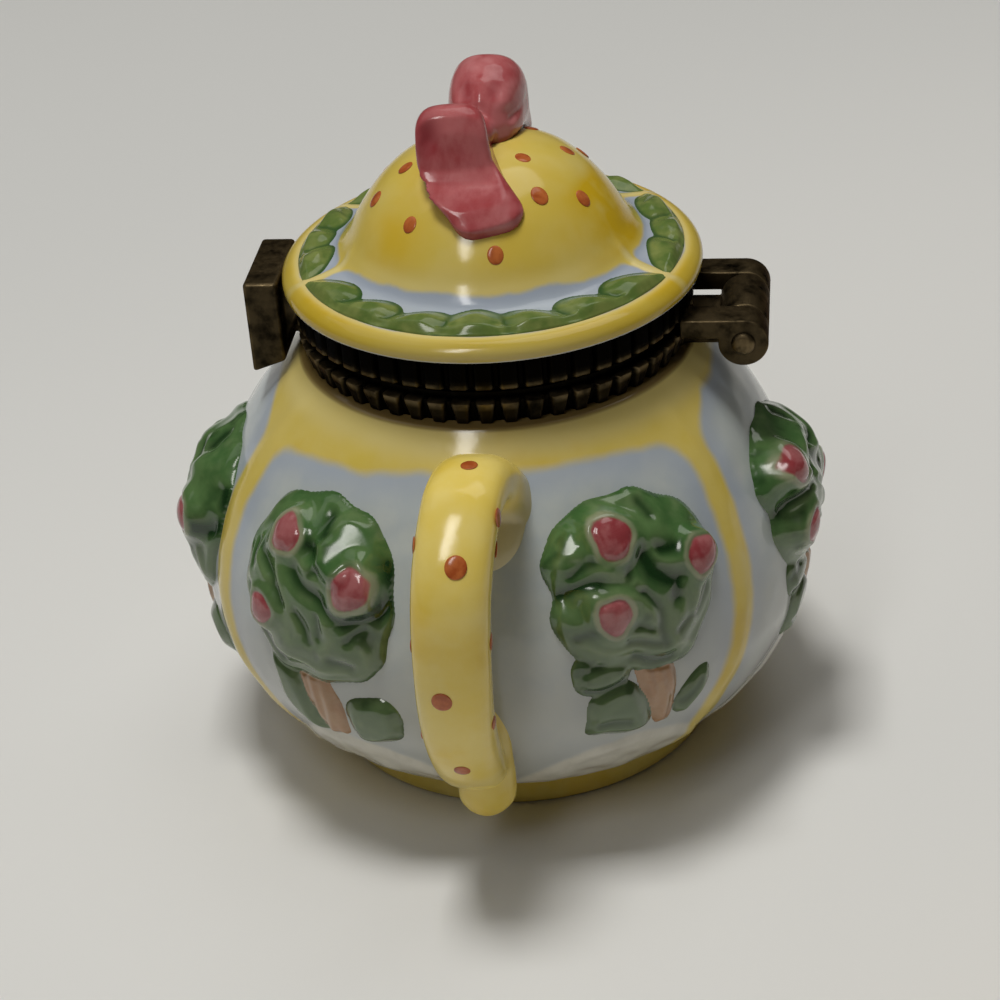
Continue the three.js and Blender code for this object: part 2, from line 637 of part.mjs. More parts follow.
// The pot with everything that stays put
const pot = new THREE.Group();
pot.add(piece('pot_body', potBody(), 'sky'));
pot.add(piece('handle', handle(), 'yellow'));
pot.add(piece('spout', spout(), 'yellow'));
Object.entries(TREE_AZIMUTHS).forEach(([place, degrees]) => {
  pot.add(piece(`tree_${place}`, tree(THREE.MathUtils.degToRad(degrees)), 'foliage'));
});
pot.add(piece('lower_rim', lowerRim(), 'bronze'));
pot.add(piece('hinge_leaf', hingeLeaf(), 'bronze'));
pot.add(piece('hinge_pin', hingePin(), 'brass'));
pot.add(piece('catch', catchStud(), 'bronze'));

// The lid with everything that swings on the pin
const lid = new THREE.Group();
lid.add(piece('lid_shell', lidShell(), 'yellow'));
const front = LEAF_LINE_FRONT;
const back = LEAF_LINE_BACK;
lid.add(piece('leaves_handle', leafRun(-front, front, LEAVES_LONG), 'leaves'));
lid.add(piece('leaves_hinge', leafRun(front, back, LEAVES_SHORT), 'leaves'));
lid.add(piece('leaves_spout', leafRun(back, FULL_TURN_DEG - back, LEAVES_LONG), 'leaves'));
lid.add(piece('leaves_clasp', leafRun(-back, -front, LEAVES_SHORT), 'leaves'));
lid.add(piece('bow_finial', bowFinial(), 'ribbon'));
lid.add(piece('upper_rim', upperRim(), 'bronze'));
lid.add(piece('hinge_arm_front', hingeArm(-1), 'bronze'));
lid.add(piece('hinge_arm_back', hingeArm(1), 'bronze'));
lid.add(piece('clasp', clasp(), 'bronze'));

const teapotBox = new THREE.Group();
teapotBox.add(pot, lid);

export default teapotBox;
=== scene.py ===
# %% [markdown]
# # A hinged porcelain box in the form of a teapot
# The real object is a small slip-cast porcelain box, painted by hand under a glossy glaze. Two fluted
# brass rims join the pot and the lid, with a hinge on one side and a clasp on the other. The packed
# model gives every size and place, and each cell below dresses one piece of it.

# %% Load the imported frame
import math

import bmesh
import bpy
import numpy as np
from mathutils import Matrix, Vector, noise


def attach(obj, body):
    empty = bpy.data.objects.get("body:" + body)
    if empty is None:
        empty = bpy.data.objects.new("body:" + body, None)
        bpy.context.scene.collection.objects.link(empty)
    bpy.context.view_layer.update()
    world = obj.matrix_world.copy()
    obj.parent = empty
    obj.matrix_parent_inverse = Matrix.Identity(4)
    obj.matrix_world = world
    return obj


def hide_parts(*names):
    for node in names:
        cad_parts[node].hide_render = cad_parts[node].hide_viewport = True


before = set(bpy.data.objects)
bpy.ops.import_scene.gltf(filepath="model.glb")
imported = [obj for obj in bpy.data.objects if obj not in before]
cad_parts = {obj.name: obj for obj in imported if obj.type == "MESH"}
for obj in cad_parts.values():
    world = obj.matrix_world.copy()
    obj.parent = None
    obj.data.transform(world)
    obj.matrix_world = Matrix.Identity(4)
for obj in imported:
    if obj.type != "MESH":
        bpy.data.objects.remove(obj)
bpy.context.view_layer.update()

MM = 0.001
print("nodes in the frame:", len(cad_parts))

# %% [markdown]
# ## Camera
# The photograph was taken by hand from close by, a little to the right of the handle and turned by a
# few degrees. The focal length, distance and angles were solved from the circles of lid, rim and foot.
# A camera could also be aimed with a constraint, but a matrix from three axes keeps the turn exact.

# %% Camera at the photograph's angle
CAMERA_YAW = math.radians(8.5)
CAMERA_TILT = math.radians(31.603)
CAMERA_ROLL = math.radians(4.376)
CAMERA_DISTANCE = 181.57 * MM
AIM_ACROSS = -0.728 * MM
AIM_HEIGHT = 17.283 * MM
FOCAL_PIXELS = 2400
IMAGE_PIXELS = 1000
SENSOR = 36

across = Vector((math.cos(CAMERA_YAW), math.sin(CAMERA_YAW), 0))
level = Vector((-math.sin(CAMERA_YAW), math.cos(CAMERA_YAW), 0))
ahead = level * math.cos(CAMERA_TILT) - Vector((0, 0, math.sin(CAMERA_TILT)))
upward = level * math.sin(CAMERA_TILT) + Vector((0, 0, math.cos(CAMERA_TILT)))
camera_x = across * math.cos(CAMERA_ROLL) - upward * math.sin(CAMERA_ROLL)
camera_y = across * math.sin(CAMERA_ROLL) + upward * math.cos(CAMERA_ROLL)
stand = across * AIM_ACROSS + Vector((0, 0, AIM_HEIGHT)) - ahead * CAMERA_DISTANCE

camera_data = bpy.data.cameras.new("photo_camera")
camera_data.sensor_width = SENSOR
camera_data.lens = SENSOR * FOCAL_PIXELS / IMAGE_PIXELS
camera_data.clip_start = 0.005
camera = bpy.data.objects.new("photo_camera", camera_data)
camera.matrix_world = Matrix((camera_x, camera_y, -ahead)).transposed().to_4x4()
camera.matrix_world.translation = stand
bpy.context.scene.collection.objects.link(camera)
bpy.context.scene.camera = camera
bpy.context.scene.view_settings.view_transform = "Standard"
print("camera stands at", [round(c / MM, 1) for c in stand], "mm")

# %% [markdown]
# ## Node helpers
# Materials are node graphs. Adding nodes by hand takes many lines, so one small function adds a node,
# sets its values and links any socket that it is given. The others wrap the kinds used most. A value
# that is the same all over a surface is set on the shader's own socket, and only what changes is linked.

# %% Helpers for node graphs
def add_node(tree, kind, settings=None, **inputs):
    made = tree.nodes.new("ShaderNode" + kind)
    for key, value in (settings or {}).items():
        setattr(made, key, value)
    for key, value in inputs.items():
        socket = made.inputs[int(key[1:])] if key[0] == "_" else made.inputs[key.replace("_", " ")]
        if isinstance(value, bpy.types.NodeSocket):
            tree.links.new(value, socket)
        else:
            socket.default_value = value
    return made


def mix_colour(tree, share, first, second):
    return add_node(tree, "Mix", {"data_type": "RGBA"}, _0=share, _6=first, _7=second).outputs[2]


def calculate(tree, operation, first, second=0.0, clamp=False):
    settings = {"operation": operation, "use_clamp": clamp}
    return add_node(tree, "Math", settings, _0=first, _1=second).outputs[0]


def times(tree, first, second, clamp=False):
    return calculate(tree, "MULTIPLY", first, second, clamp)


def fade(tree, value, start, end, low=0.0, high=1.0):
    settings = {"interpolation_type": "SMOOTHSTEP"}
    made = add_node(tree, "MapRange", settings, Value=value)
    for place, number in enumerate((start, end, low, high), 1):
        made.inputs[place].default_value = number
    return made.outputs[0]


def painted(tree, name):
    return add_node(tree, "Attribute", {"attribute_name": name}).outputs["Fac"]


def noise_value(tree, vector, scale, detail=3.0, roughness=0.55):
    made = add_node(tree, "TexNoise", Vector=vector, Scale=scale, Detail=detail, Roughness=roughness)
    return made.outputs["Fac"]


def cloudy(tree, place, scale, start, end, strength, detail=3.0):
    return times(tree, fade(tree, noise_value(tree, place, scale, detail), start, end), strength)


def hand_waver(tree, place, scale, width):
    return times(tree, calculate(tree, "SUBTRACT", noise_value(tree, place, scale), 0.5), width)


print("node helpers ready")


# %% Helpers for materials
def new_material(name):
    made = bpy.data.materials.new(name)
    made.use_nodes = True
    tree = made.node_tree
    place = add_node(tree, "TexCoord").outputs["Object"]
    return made, tree, tree.nodes["Principled BSDF"], place


def connect(tree, shader, **sources):
    for name, source in sources.items():
        tree.links.new(source, shader.inputs[name.replace("_", " ")])


def set_values(shader, **values):
    for name, value in values.items():
        shader.inputs[name.replace("_", " ")].default_value = value


print("material helpers ready")

# %% [markdown]
# ## Stage and light
# The box stands on pale paper in room light. Most of it falls from nearly overhead, so the near side
# lies in its own shade, and weaker light comes from behind on both sides. A narrow lamp in front makes
# the highlights on the glaze. Point lights would give hard shadows, so all are area lights. The overhead
# one is hidden from reflections, where it would show as a patch, and a second lamp in front is seen in
# reflections alone, which keeps the highlights strong and the shade deep.

# %% Floor
FLOOR_HALF = 0.9
paper, tree, shader, place = new_material("pale_paper")
grey = mix_colour(tree, noise_value(tree, place, 9.0), (0.735, 0.735, 0.72, 1), (0.77, 0.77, 0.755, 1))
spread = add_node(tree, "SeparateXYZ", Vector=place).outputs
# The paper is painted darker towards the back left and lighter towards the front right: painted light,
# standing for the room light's fall-off.
painted_light_slope = calculate(tree, "SUBTRACT", spread["Y"], spread["X"])
grey = mix_colour(tree, fade(tree, painted_light_slope, 0.02, 0.16), grey, (0.69, 0.695, 0.685, 1))
grey = mix_colour(tree, fade(tree, painted_light_slope, -0.04, -0.12), grey, (0.81, 0.78, 0.725, 1))
fibre = add_node(tree, "Bump", Height=noise_value(tree, place, 900.0), Strength=0.06, Distance=0.0002)
connect(tree, shader, Base_Color=grey, Normal=fibre.outputs["Normal"])
set_values(shader, Roughness=0.75)

bm = bmesh.new()
bmesh.ops.create_grid(bm, x_segments=8, y_segments=8, size=FLOOR_HALF)
floor_mesh = bpy.data.meshes.new("floor")
bm.to_mesh(floor_mesh)
bm.free()
floor_mesh.materials.append(paper)
floor = bpy.data.objects.new("floor", floor_mesh)
bpy.context.scene.collection.objects.link(floor)
print("floor is", 2 * FLOOR_HALF, "m wide")

# %% World and lights
ROOM_WHITE = (1.0, 0.985, 0.95)
LAMP_WHITE = (1.0, 0.98, 0.95)
FRONT_SPOT = (-0.14, -0.43, 0.61)
FRONT_WIDE, FRONT_LONG = 0.1, 0.34
LIGHT_AIM = Vector((0, 0, 0.02))

world = bpy.data.worlds.new("soft_room")
world.use_nodes = True
set_values(world.node_tree.nodes["Background"], Color=(1.0, 0.9, 0.74, 1), Strength=0.045)
bpy.context.scene.world = world


def soft_light(name, spot, size, power, colour=ROOM_WHITE):
    data = bpy.data.lights.new(name, "AREA")
    data.size = size
    data.energy = power
    data.color = colour
    lamp = bpy.data.objects.new(name, data)
    lamp.location = spot
    aim = LIGHT_AIM - Vector(spot)
    lamp.rotation_euler = aim.to_track_quat("-Z", "Y").to_euler()
    bpy.context.scene.collection.objects.link(lamp)
    return lamp


soft_light("ceiling", (-0.07, -0.01, 0.62), 0.15, 2.15).visible_glossy = False
soft_light("ceiling_left", (-0.29, 0.1, 0.58), 0.4, 0.2)
soft_light("ceiling_back", (0.12, 0.16, 0.6), 0.34, 0.52)
for name, power in (("front", 0.6), ("front_glint", 1.2)):
    lamp = soft_light(name, FRONT_SPOT, FRONT_WIDE, power, LAMP_WHITE)
    lamp.data.shape = "RECTANGLE"
    lamp.data.size_y = FRONT_LONG
    lamp.visible_diffuse = name == "front"
print("lights placed")

# %% [markdown]
# ## Shared glaze effects
# Every porcelain surface shows the same two things: brush strokes that make a colour thicker or
# thinner, and a glaze that is glossy but a little wavy. Both are node groups, built once and placed in
# each material with its own values.

# %% Node groups for brush strokes and glaze
def new_group(name, inputs, outputs):
    group = bpy.data.node_groups.new(name, "ShaderNodeTree")
    for label, kind, value in inputs:
        socket = group.interface.new_socket(label, in_out="INPUT", socket_type="NodeSocket" + kind)
        if value is not None:
            socket.default_value = value
    for label, kind in outputs:
        group.interface.new_socket(label, in_out="OUTPUT", socket_type="NodeSocket" + kind)
    start = group.nodes.new("NodeGroupInput")
    end = group.nodes.new("NodeGroupOutput")
    return group, start.outputs, end.inputs


strokes, given, result = new_group(
    "brush_strokes",
    [
        ("Vector", "Vector", None), ("Scale", "Float", 250.0), ("Thin", "Color", None),
        ("Thick", "Color", None),
    ],
    [("Color", "Color")],
)
drift = add_node(
    strokes, "TexNoise", Vector=given["Vector"], Scale=given["Scale"], Detail=2.0, Distortion=0.6
)
finer = times(strokes, given["Scale"], 3.3)
bristle = add_node(strokes, "TexNoise", Vector=given["Vector"], Scale=finer, Detail=4.0, Roughness=0.65)
both = calculate(strokes, "ADD", times(strokes, bristle.outputs["Fac"], 0.45), drift.outputs["Fac"])
amount = fade(strokes, both, 0.5, 0.95)
strokes.links.new(mix_colour(strokes, amount, given["Thin"], given["Thick"]), result["Color"])

glaze, given, result = new_group(
    "wavy_glaze", [("Vector", "Vector", None)], [("Normal", "Vector"), ("Roughness", "Float")]
)
swell = noise_value(glaze, given["Vector"], 420.0, 2.0)
pits = noise_value(glaze, given["Vector"], 2600.0, 2.0)
height = add_node(glaze, "Math", {"operation": "MULTIPLY_ADD"}, _0=pits, _1=0.12, _2=swell).outputs[0]
bump = add_node(glaze, "Bump", Height=height, Strength=0.35, Distance=0.00006)
glaze.links.new(bump.outputs["Normal"], result["Normal"])
patchy = fade(glaze, noise_value(glaze, given["Vector"], 700.0), 0.3, 0.8, 0.1, 0.2)
glaze.links.new(patchy, result["Roughness"])
print("groups:", [strokes.name, glaze.name])

# %% [markdown]
# ## Colours of the glazes
# The painter used few colours: two yellows with a golden one where the brush paused, three blues that
# pool towards the edges of a field, and a chalky white. They are kept together, so that pot, lid and
# handle share them.

# %% Glazes and their colours
GLAZE_GLOSS = 0.42


def brushed(tree, place, scale, thin, thick):
    made = add_node(tree, "Group", {"node_tree": strokes}, Vector=place, Scale=scale, Thin=thin, Thick=thick)
    return made.outputs["Color"]


def glazed(tree, shader, place, colour, gloss=GLAZE_GLOSS):
    made = add_node(tree, "Group", {"node_tree": glaze}, Vector=place).outputs
    connect(tree, shader, Base_Color=colour, Roughness=made["Roughness"], Normal=made["Normal"])
    set_values(shader, IOR=1.52, Specular_IOR_Level=gloss, Coat_Weight=0.12, Coat_Roughness=0.06)


PALE_YELLOW = (0.675, 0.535, 0.145, 1)
WARM_YELLOW = (0.655, 0.505, 0.095, 1)
GOLD_YELLOW = (0.63, 0.41, 0.013, 1)
CREAM = (0.68, 0.585, 0.27, 1)
PALE_SKY = (0.505, 0.545, 0.535, 1)
MIDDLE_SKY = (0.445, 0.495, 0.52, 1)
DEEP_SKY = (0.36, 0.41, 0.505, 1)
CHALK = (0.65, 0.63, 0.55, 1)


def sky_colour(tree, place, pool):
    plain = brushed(tree, place, 230.0, PALE_SKY, MIDDLE_SKY)
    return mix_colour(tree, pool, plain, DEEP_SKY)


def yellow_colour(tree, place, gold):
    plain = brushed(tree, place, 170.0, PALE_YELLOW, WARM_YELLOW)
    return mix_colour(tree, gold, plain, GOLD_YELLOW)


print("glaze colours ready")

# %% [markdown]
# ## Forms shared by several pieces
# The belly and the lid follow the same formulas as the solids, in millimetres, so that paint and relief
# sit exactly on them. A mesh could be sampled instead, but a formula gives any point at once. The real
# belly leans slightly to the clasp's side, and a fillet rounds the foot of the dome. Azimuth is counted
# from the handle towards the hinge.

# %% Formulas of the wall and the lid
BELLY_R, BELLY_Z, COLLAR_R, COLLAR_Z = 22.6, 14.0, 14.2, 31.8
WAIST_R, FOOT_Z, FULLNESS = 15.1, 2.6, 0.8
DOME_R, DOME_Z, DOME_H, DOME_POWER = 10.5, 39.2, 7.25, 3.1
FLANGE_R, FLANGE_IN_R, EDGE_Z, FLANGE_RISE = 15.0, 10.2, 38.4, 1.0
FILLET = 1.5
LEAN = -0.5


def wall_radius(z):
    up = (z - BELLY_Z) / (COLLAR_Z - BELLY_Z)
    down = np.clip((BELLY_Z - z) / (BELLY_Z - FOOT_Z), 0, 1)
    lower = WAIST_R + (BELLY_R - WAIST_R) * (1 - down * down) ** FULLNESS
    return np.where(z >= BELLY_Z, COLLAR_R + (BELLY_R - COLLAR_R) * (1 - up * up), lower)


def step(low, high, value):
    share = np.clip((value - low) / (high - low), 0, 1)
    return share * share * (3 - 2 * share)


def soft_min(first, second, blend):
    overlap = np.maximum(blend - np.abs(first - second), 0) / blend
    return np.minimum(first, second) - overlap * overlap * blend / 4


def lid_height(radius):
    dome = DOME_Z + DOME_H * (1 - (radius / DOME_R) ** DOME_POWER)
    inward = np.clip((FLANGE_R - radius) / (FLANGE_R - FLANGE_IN_R), 0, 1)
    return -soft_min(-dome, -EDGE_Z - FLANGE_RISE * inward * inward, FILLET)


def lean(z):
    return LEAN * np.sin(math.pi * np.clip(z / COLLAR_Z, 0, 1))


def round_axis(azimuth, radius, height):
    return np.stack([radius * np.sin(azimuth), -radius * np.cos(azimuth), height], -1)


def on_wall(azimuth, z, out):
    slope = (wall_radius(z + 0.01) - wall_radius(z - 0.01)) / 0.02
    radius = wall_radius(z) + out / np.hypot(1, slope)
    rise = z - out * slope / np.hypot(1, slope)
    places = round_axis(azimuth, radius, rise)
    places[..., 0] += lean(rise)
    return places


def on_lid(azimuth, radius, up):
    return round_axis(azimuth, radius, lid_height(radius) + up)


print("belly radius", float(wall_radius(BELLY_Z)), "mm, dome top", float(lid_height(0.0)), "mm")

# %% [markdown]
# ## Helpers for pieces
# A finished piece is one mesh at the origin that rides on a body and stands for its solid. Three forms
# come back often: a profile turned about the pot's axis, a grid laid over a surface with relief, and
# shells fused into one. A spin would turn a profile too, but a grid that is carried round the axis and
# welded keeps every vertex's row and angle at hand for paint and relief.

# %% Helpers for meshes
SHARP = math.radians(50)
WELD = 0.001 * MM


def vertex_array(bm):
    return np.array([vert.co for vert in bm.verts])


def move_vertices(bm, places):
    for vert, spot in zip(bm.verts, places):
        vert.co = spot


def paint_vertices(bm, name, values):
    layer = bm.verts.layers.float.get(name) or bm.verts.layers.float.new(name)
    for vert, value in zip(bm.verts, values):
        vert[layer] = float(value)


def polar(bm):
    """Each vertex's place in millimetres, its azimuth in degrees, its radius and its height."""
    spots = vertex_array(bm) / MM
    turn = np.degrees(np.arctan2(spots[:, 0], -spots[:, 1]))
    return spots, turn, np.hypot(spots[:, 0], spots[:, 1]), spots[:, 2]


def wobble(spots, scale):
    return np.array([noise.noise(Vector(spot) * scale) for spot in spots])


def weld(bm):
    bmesh.ops.remove_doubles(bm, verts=bm.verts, dist=WELD)


def extruded(bm, faces, keep=False):
    made = bmesh.ops.extrude_face_region(bm, geom=faces, use_keep_orig=keep)
    return [item for item in made["geom"] if isinstance(item, bmesh.types.BMVert)]


def absorb(bm, other):
    mesh = bpy.data.meshes.new("shell")
    other.to_mesh(mesh)
    other.free()
    bm.from_mesh(mesh)
    bpy.data.meshes.remove(mesh)


def finish_piece(name, bm, material, body, nodes, sharp=False):
    weld(bm)
    bmesh.ops.recalc_face_normals(bm, faces=bm.faces)
    for face in bm.faces:
        face.smooth = True
    if sharp:
        for edge in bm.edges:
            edge.smooth = edge.calc_face_angle(0) < SHARP
    mesh = bpy.data.meshes.new(name)
    bm.to_mesh(mesh)
    bm.free()
    mesh.materials.append(material)
    piece = bpy.data.objects.new(name, mesh)
    bpy.context.scene.collection.objects.link(piece)
    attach(piece, body)
    if nodes:
        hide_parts(*nodes)
    print(name, "has", len(mesh.polygons), "faces")
    return piece


print("mesh helpers ready")

# %% Helpers that turn, lay and fuse
RELIEF_ROOT = 0.2
RELIEF_BACK = 0.6


def wrapped_grid(columns, rows):
    """A flat grid, with each vertex's angle round a form and its row along it."""
    bm = bmesh.new()
    bmesh.ops.create_grid(bm, x_segments=columns, y_segments=rows, size=1)
    flat = vertex_array(bm)
    return bm, (flat[:, 0] + 1) * math.pi, np.rint((flat[:, 1] + 1) / 2 * rows).astype(int)


def lathe(profile, steps):
    bm, angle, row = wrapped_grid(steps, len(profile) - 1)
    radius, height = np.array(profile)[row].T
    move_vertices(bm, round_axis(angle, radius, height) * MM)
    weld(bm)
    return bm


def laid_relief(box, pitch, relief, surface):
    """A grid over box, lifted by relief, trimmed where it sinks in, given a back and laid on a surface."""
    (u0, v0), (u1, v1) = box
    bm = bmesh.new()
    counts = [max(int((b - a) / pitch), 2) for a, b in ((u0, u1), (v0, v1))]
    bmesh.ops.create_grid(bm, x_segments=counts[0], y_segments=counts[1], size=1)
    flat = vertex_array(bm)
    u = u0 + (flat[:, 0] + 1) / 2 * (u1 - u0)
    v = v0 + (flat[:, 1] + 1) / 2 * (v1 - v0)
    out, paint = relief(u, v)
    for name, values in paint.items():
        paint_vertices(bm, name, values)
    move_vertices(bm, np.stack([u, v, out], -1))
    buried = [vert for vert, height in zip(bm.verts, out) if height < -RELIEF_ROOT]
    bmesh.ops.delete(bm, geom=buried, context="VERTS")
    bmesh.ops.delete(bm, geom=[vert for vert in bm.verts if not vert.link_faces], context="VERTS")
    front = set(extruded(bm, bm.faces[:], keep=True))
    for vert in bm.verts:
        if vert not in front:
            vert.co.z = -RELIEF_BACK
    places = vertex_array(bm)
    move_vertices(bm, surface(places[:, 0], places[:, 1], places[:, 2]) * MM)
    return bm


def fused(bm, voxel, rounds):
    """Joins the closed shells of a mesh into one and softens it, as slip and glaze do."""
    raw = bpy.data.meshes.new("raw_shells")
    bm.to_mesh(raw)
    bm.free()
    holder = bpy.data.objects.new("raw_shells", raw)
    bpy.context.scene.collection.objects.link(holder)
    join = holder.modifiers.new("join", "REMESH")
    join.mode = "VOXEL"
    join.voxel_size = voxel * MM
    even = holder.modifiers.new("even", "SMOOTH")
    even.factor = 0.5
    even.iterations = rounds
    shaped = holder.evaluated_get(bpy.context.evaluated_depsgraph_get())
    made = bmesh.new()
    made.from_mesh(shaped.to_mesh())
    shaped.to_mesh_clear()
    bpy.data.objects.remove(holder)
    bpy.data.meshes.remove(raw)
    return made


print("piece helpers ready")

# %% [markdown]
# ## Pot body
# The pot is cast in one piece: foot ring, round belly, sloping shoulder and a short neck for the rim.
# A profile turned about the axis gives it. The yellow collar, the dividing lines and the white ground
# are glaze painted in fields. An image could hold them, but here each vertex holds its distance from
# the nearest edge, and the material turns that distance into paint with a hand-drawn waver. The lines
# are slightly raised, so the wall is pushed out along them.

# %% Pot body: painted fields
LINE_HALVES = (1.35, 1.1, 1.25, 1.25)
LINE_REACH = 1.3
LINE_PATHS = [
    (
        (2.6, -42), (10.2, -49.5), (12, -53.5), (14.4, -57), (16.6, -59.2), (21, -61), (24, -61.2),
        (27, -59.8), (31.8, -55),
    ),
    (
        (2.6, 42), (10.2, 48.5), (12, 51.2), (14.4, 53.6), (17.2, 55.5), (20.2, 56.2), (23.6, 56.9),
        (26.4, 57), (31.8, 54),
    ),
    ((2.6, 116), (12, 118), (21, 121), (26, 120), (31.8, 123)),
    ((2.6, -116), (12, -118), (21, -121), (26, -120), (31.8, -123)),
]
COLLAR_EDGE = [
    (-180, 29.1), (-135, 28.6), (-120, 28.2), (-110, 29.6), (-90, 30.3), (-76, 29.8), (-64, 28.0),
    (-50, 28.3), (-24, 28.9), (-13, 29.3), (21, 29.5), (40, 29.2), (58, 28.1), (70, 29.8), (90, 30.3),
    (108, 29.7), (120, 28.2), (135, 28.7), (180, 29.1),
]
TREE_PLACES = {
    "tree_handle_right": (33.6, 20.8, "broad", 1),
    "tree_hinge": (86.5, 19.3, "broad", 1),
    "tree_spout_right": (149, 20.8, "round", -1),
    "tree_spout_left": (211, 20.8, "broad", -1),
    "tree_clasp": (275, 19.6, "round", 1),
    "tree_handle_left": (325, 20.7, "round", 1),
}
COLLAR_SLANT = 1.15
YELLOW_BLEND = 1.7
FOOT_LINE_Z = 3.8
GROUND_SHIFT = {"round": 3.6, "broad": -1.8}
GROUND_HALF, GROUND_Z, GROUND_HEIGHT = 7.6, 3.4, 6.3
FAR = 99.0


def turn_between(first, second):
    return (first - second + 180) % 360 - 180


def wall_paint(azimuth, z):
    radius = wall_radius(z)
    gap = np.full_like(z, FAR)
    for path, half in zip(LINE_PATHS, LINE_HALVES):
        heights, turns = zip(*path)
        away = np.radians(np.abs(turn_between(azimuth, np.interp(z, heights, turns)))) * radius
        gap = np.minimum(gap, away - half)
    edge = np.interp(azimuth, *zip(*COLLAR_EDGE))
    edge = edge + 0.07 * np.sin(np.radians(azimuth) * 17) + 0.04 * np.sin(np.radians(azimuth) * 31 + 1)
    yellow = soft_min(gap, (edge - z) * COLLAR_SLANT, YELLOW_BLEND)
    yellow = np.minimum(yellow, z - FOOT_LINE_Z)
    ground = np.full_like(z, FAR)
    for middle, _, kind, way in TREE_PLACES.values():
        along = np.radians(turn_between(azimuth, middle)) * radius - way * GROUND_SHIFT[kind]
        mound = (np.hypot(along / GROUND_HALF, (z - GROUND_Z) / GROUND_HEIGHT) - 1) * GROUND_HEIGHT
        ground = np.minimum(ground, mound)
    return gap, yellow, ground


print("painted lines:", len(LINE_PATHS), "and trees to come:", len(TREE_PLACES))

# %% Pot body: turned wall
WALL_ROWS = 150
SPIN_STEPS = 420
POT_WALL = 2.2
NECK_R, MOUTH_R = 12.6, 10.6
NECK_Z, FLOOR_Z = 33.6, 5.0
FOOT_PROFILE = [
    (0, 0.9), (6, 0.9), (11.3, 0.9), (11.9, 0.7), (12.4, 0.1), (12.6, 0), (14.5, 0), (14.9, 0.1),
    (15.15, 0.4), (15.2, 0.9), (15.2, 2.0), (15.12, 2.4),
]
wall_z = np.linspace(FOOT_Z, COLLAR_Z, WALL_ROWS)
outer = list(zip(wall_radius(wall_z), wall_z))
cavity_z = np.linspace(29.4, FLOOR_Z, 20)
inner = list(zip(np.maximum(wall_radius(cavity_z) - POT_WALL, MOUTH_R), cavity_z))
neck = [(NECK_R, COLLAR_Z), (NECK_R, NECK_Z), (MOUTH_R, NECK_Z), (MOUTH_R, 30.6)]
bm = lathe(FOOT_PROFILE + outer + neck + inner + [(5, FLOOR_Z), (0, FLOOR_Z)], SPIN_STEPS)
print("profile points on the wall:", len(outer))

# %% Pot body: raised lines and paint values
RIB_HEIGHT, RIB_HALF = 0.22, 1.1
GROUND_LIFT = 0.28
BARE = 9.0
spots, turn, radius, height = polar(bm)
gap, yellow, ground = wall_paint(turn, height)
on_outside = (radius > wall_radius(height) - 0.05) & (height > FOOT_Z + 0.05) & (height < COLLAR_Z - 0.4)
fade_down = step(3.2, 7.0, height) * step(31.6, 30.0, height)
rib = RIB_HEIGHT * np.exp(-(((gap + LINE_REACH) / RIB_HALF) ** 2)) * fade_down
mound = GROUND_LIFT * step(0.3, -0.9, ground) * step(2.7, 4.2, height)
rough = wobble(spots, 0.5)
out = np.where(on_outside, rib + mound * (1 + 0.6 * rough) + 0.05 * rough * fade_down, 0)
scale = (radius + out) / np.maximum(radius, 0.001)
move_vertices(bm, np.stack([spots[:, 0] * scale + lean(height), spots[:, 1] * scale, height], -1) * MM)
cavity = (radius < wall_radius(height) - 1.5) & (height > 3) & (height < 29.6)
mouth = (radius < 12) & (height > 29)
underside = (height < 0.05) | (radius < 12.3) & (height < 1)
inside = cavity | mouth | underside
near_rim = np.clip((height - 29.4) / 2.3, 0, 1)
paint_vertices(bm, "yellow_edge", np.where(inside, BARE, yellow))
paint_vertices(bm, "ground_edge", np.where(inside, -BARE, ground))
paint_vertices(bm, "near_rim", np.where(inside, 0.0, near_rim))
print("bare vertices inside:", int(inside.sum()))

# %% Pot body: glaze
painted_pot, tree, shader, place = new_material("painted_pot")
waver = hand_waver(tree, place, 420.0, 0.5)
edge = calculate(tree, "ADD", painted(tree, "yellow_edge"), waver)
pool = times(tree, fade(tree, edge, 2.6, 0.2), 0.6)
sky = sky_colour(tree, place, pool)
# Towards the bottom the blue is painted greyer and warmer: painted shade for the belly's shaded underside.
low = fade(tree, add_node(tree, "SeparateXYZ", Vector=place).outputs["Z"], 0.022, 0.012)
sky = mix_colour(tree, times(tree, low, 0.6), sky, (0.48, 0.48, 0.45, 1))
yellow_paint = yellow_colour(tree, place, cloudy(tree, place, 190.0, 0.5, 0.72, 0.4))
rim_side = painted(tree, "near_rim")
creamy = times(tree, fade(tree, rim_side, 0.0, 0.6), 0.55)
yellow_paint = mix_colour(tree, creamy, yellow_paint, CREAM)
# Right under the rim the yellow turns dark brown: painted contact shade.
yellow_paint = mix_colour(tree, fade(tree, rim_side, 0.9, 1.0), yellow_paint, (0.22, 0.15, 0.05, 1))
white = brushed(tree, place, 500.0, CHALK, (0.57, 0.55, 0.475, 1))
ground_side = calculate(tree, "ADD", painted(tree, "ground_edge"), waver)
colour = mix_colour(tree, fade(tree, ground_side, 0.25, -0.25), sky, white)
colour = mix_colour(tree, fade(tree, edge, 0.45, -0.4), colour, yellow_paint)
glazed(tree, shader, place, colour)
finish_piece("painted_pot", bm, painted_pot, "pot", ["pot_body"])

# %% [markdown]
# ## Rose trees
# Six clipped rose trees stand out from the belly. On the real pot they are part of the mould: a domed
# crown of folded leaves, blossoms with a pale rim, a short trunk and bushes. Carving each by hand
# would take many operators, so a fine grid is laid over the wall and lifted by a relief. Rounded
# outlines give crown, trunk and bushes, strokes give the creases and ridges, and a facet gives the
# smooth leaf that catches the light. Two forms, mirrored and turned, make all six.

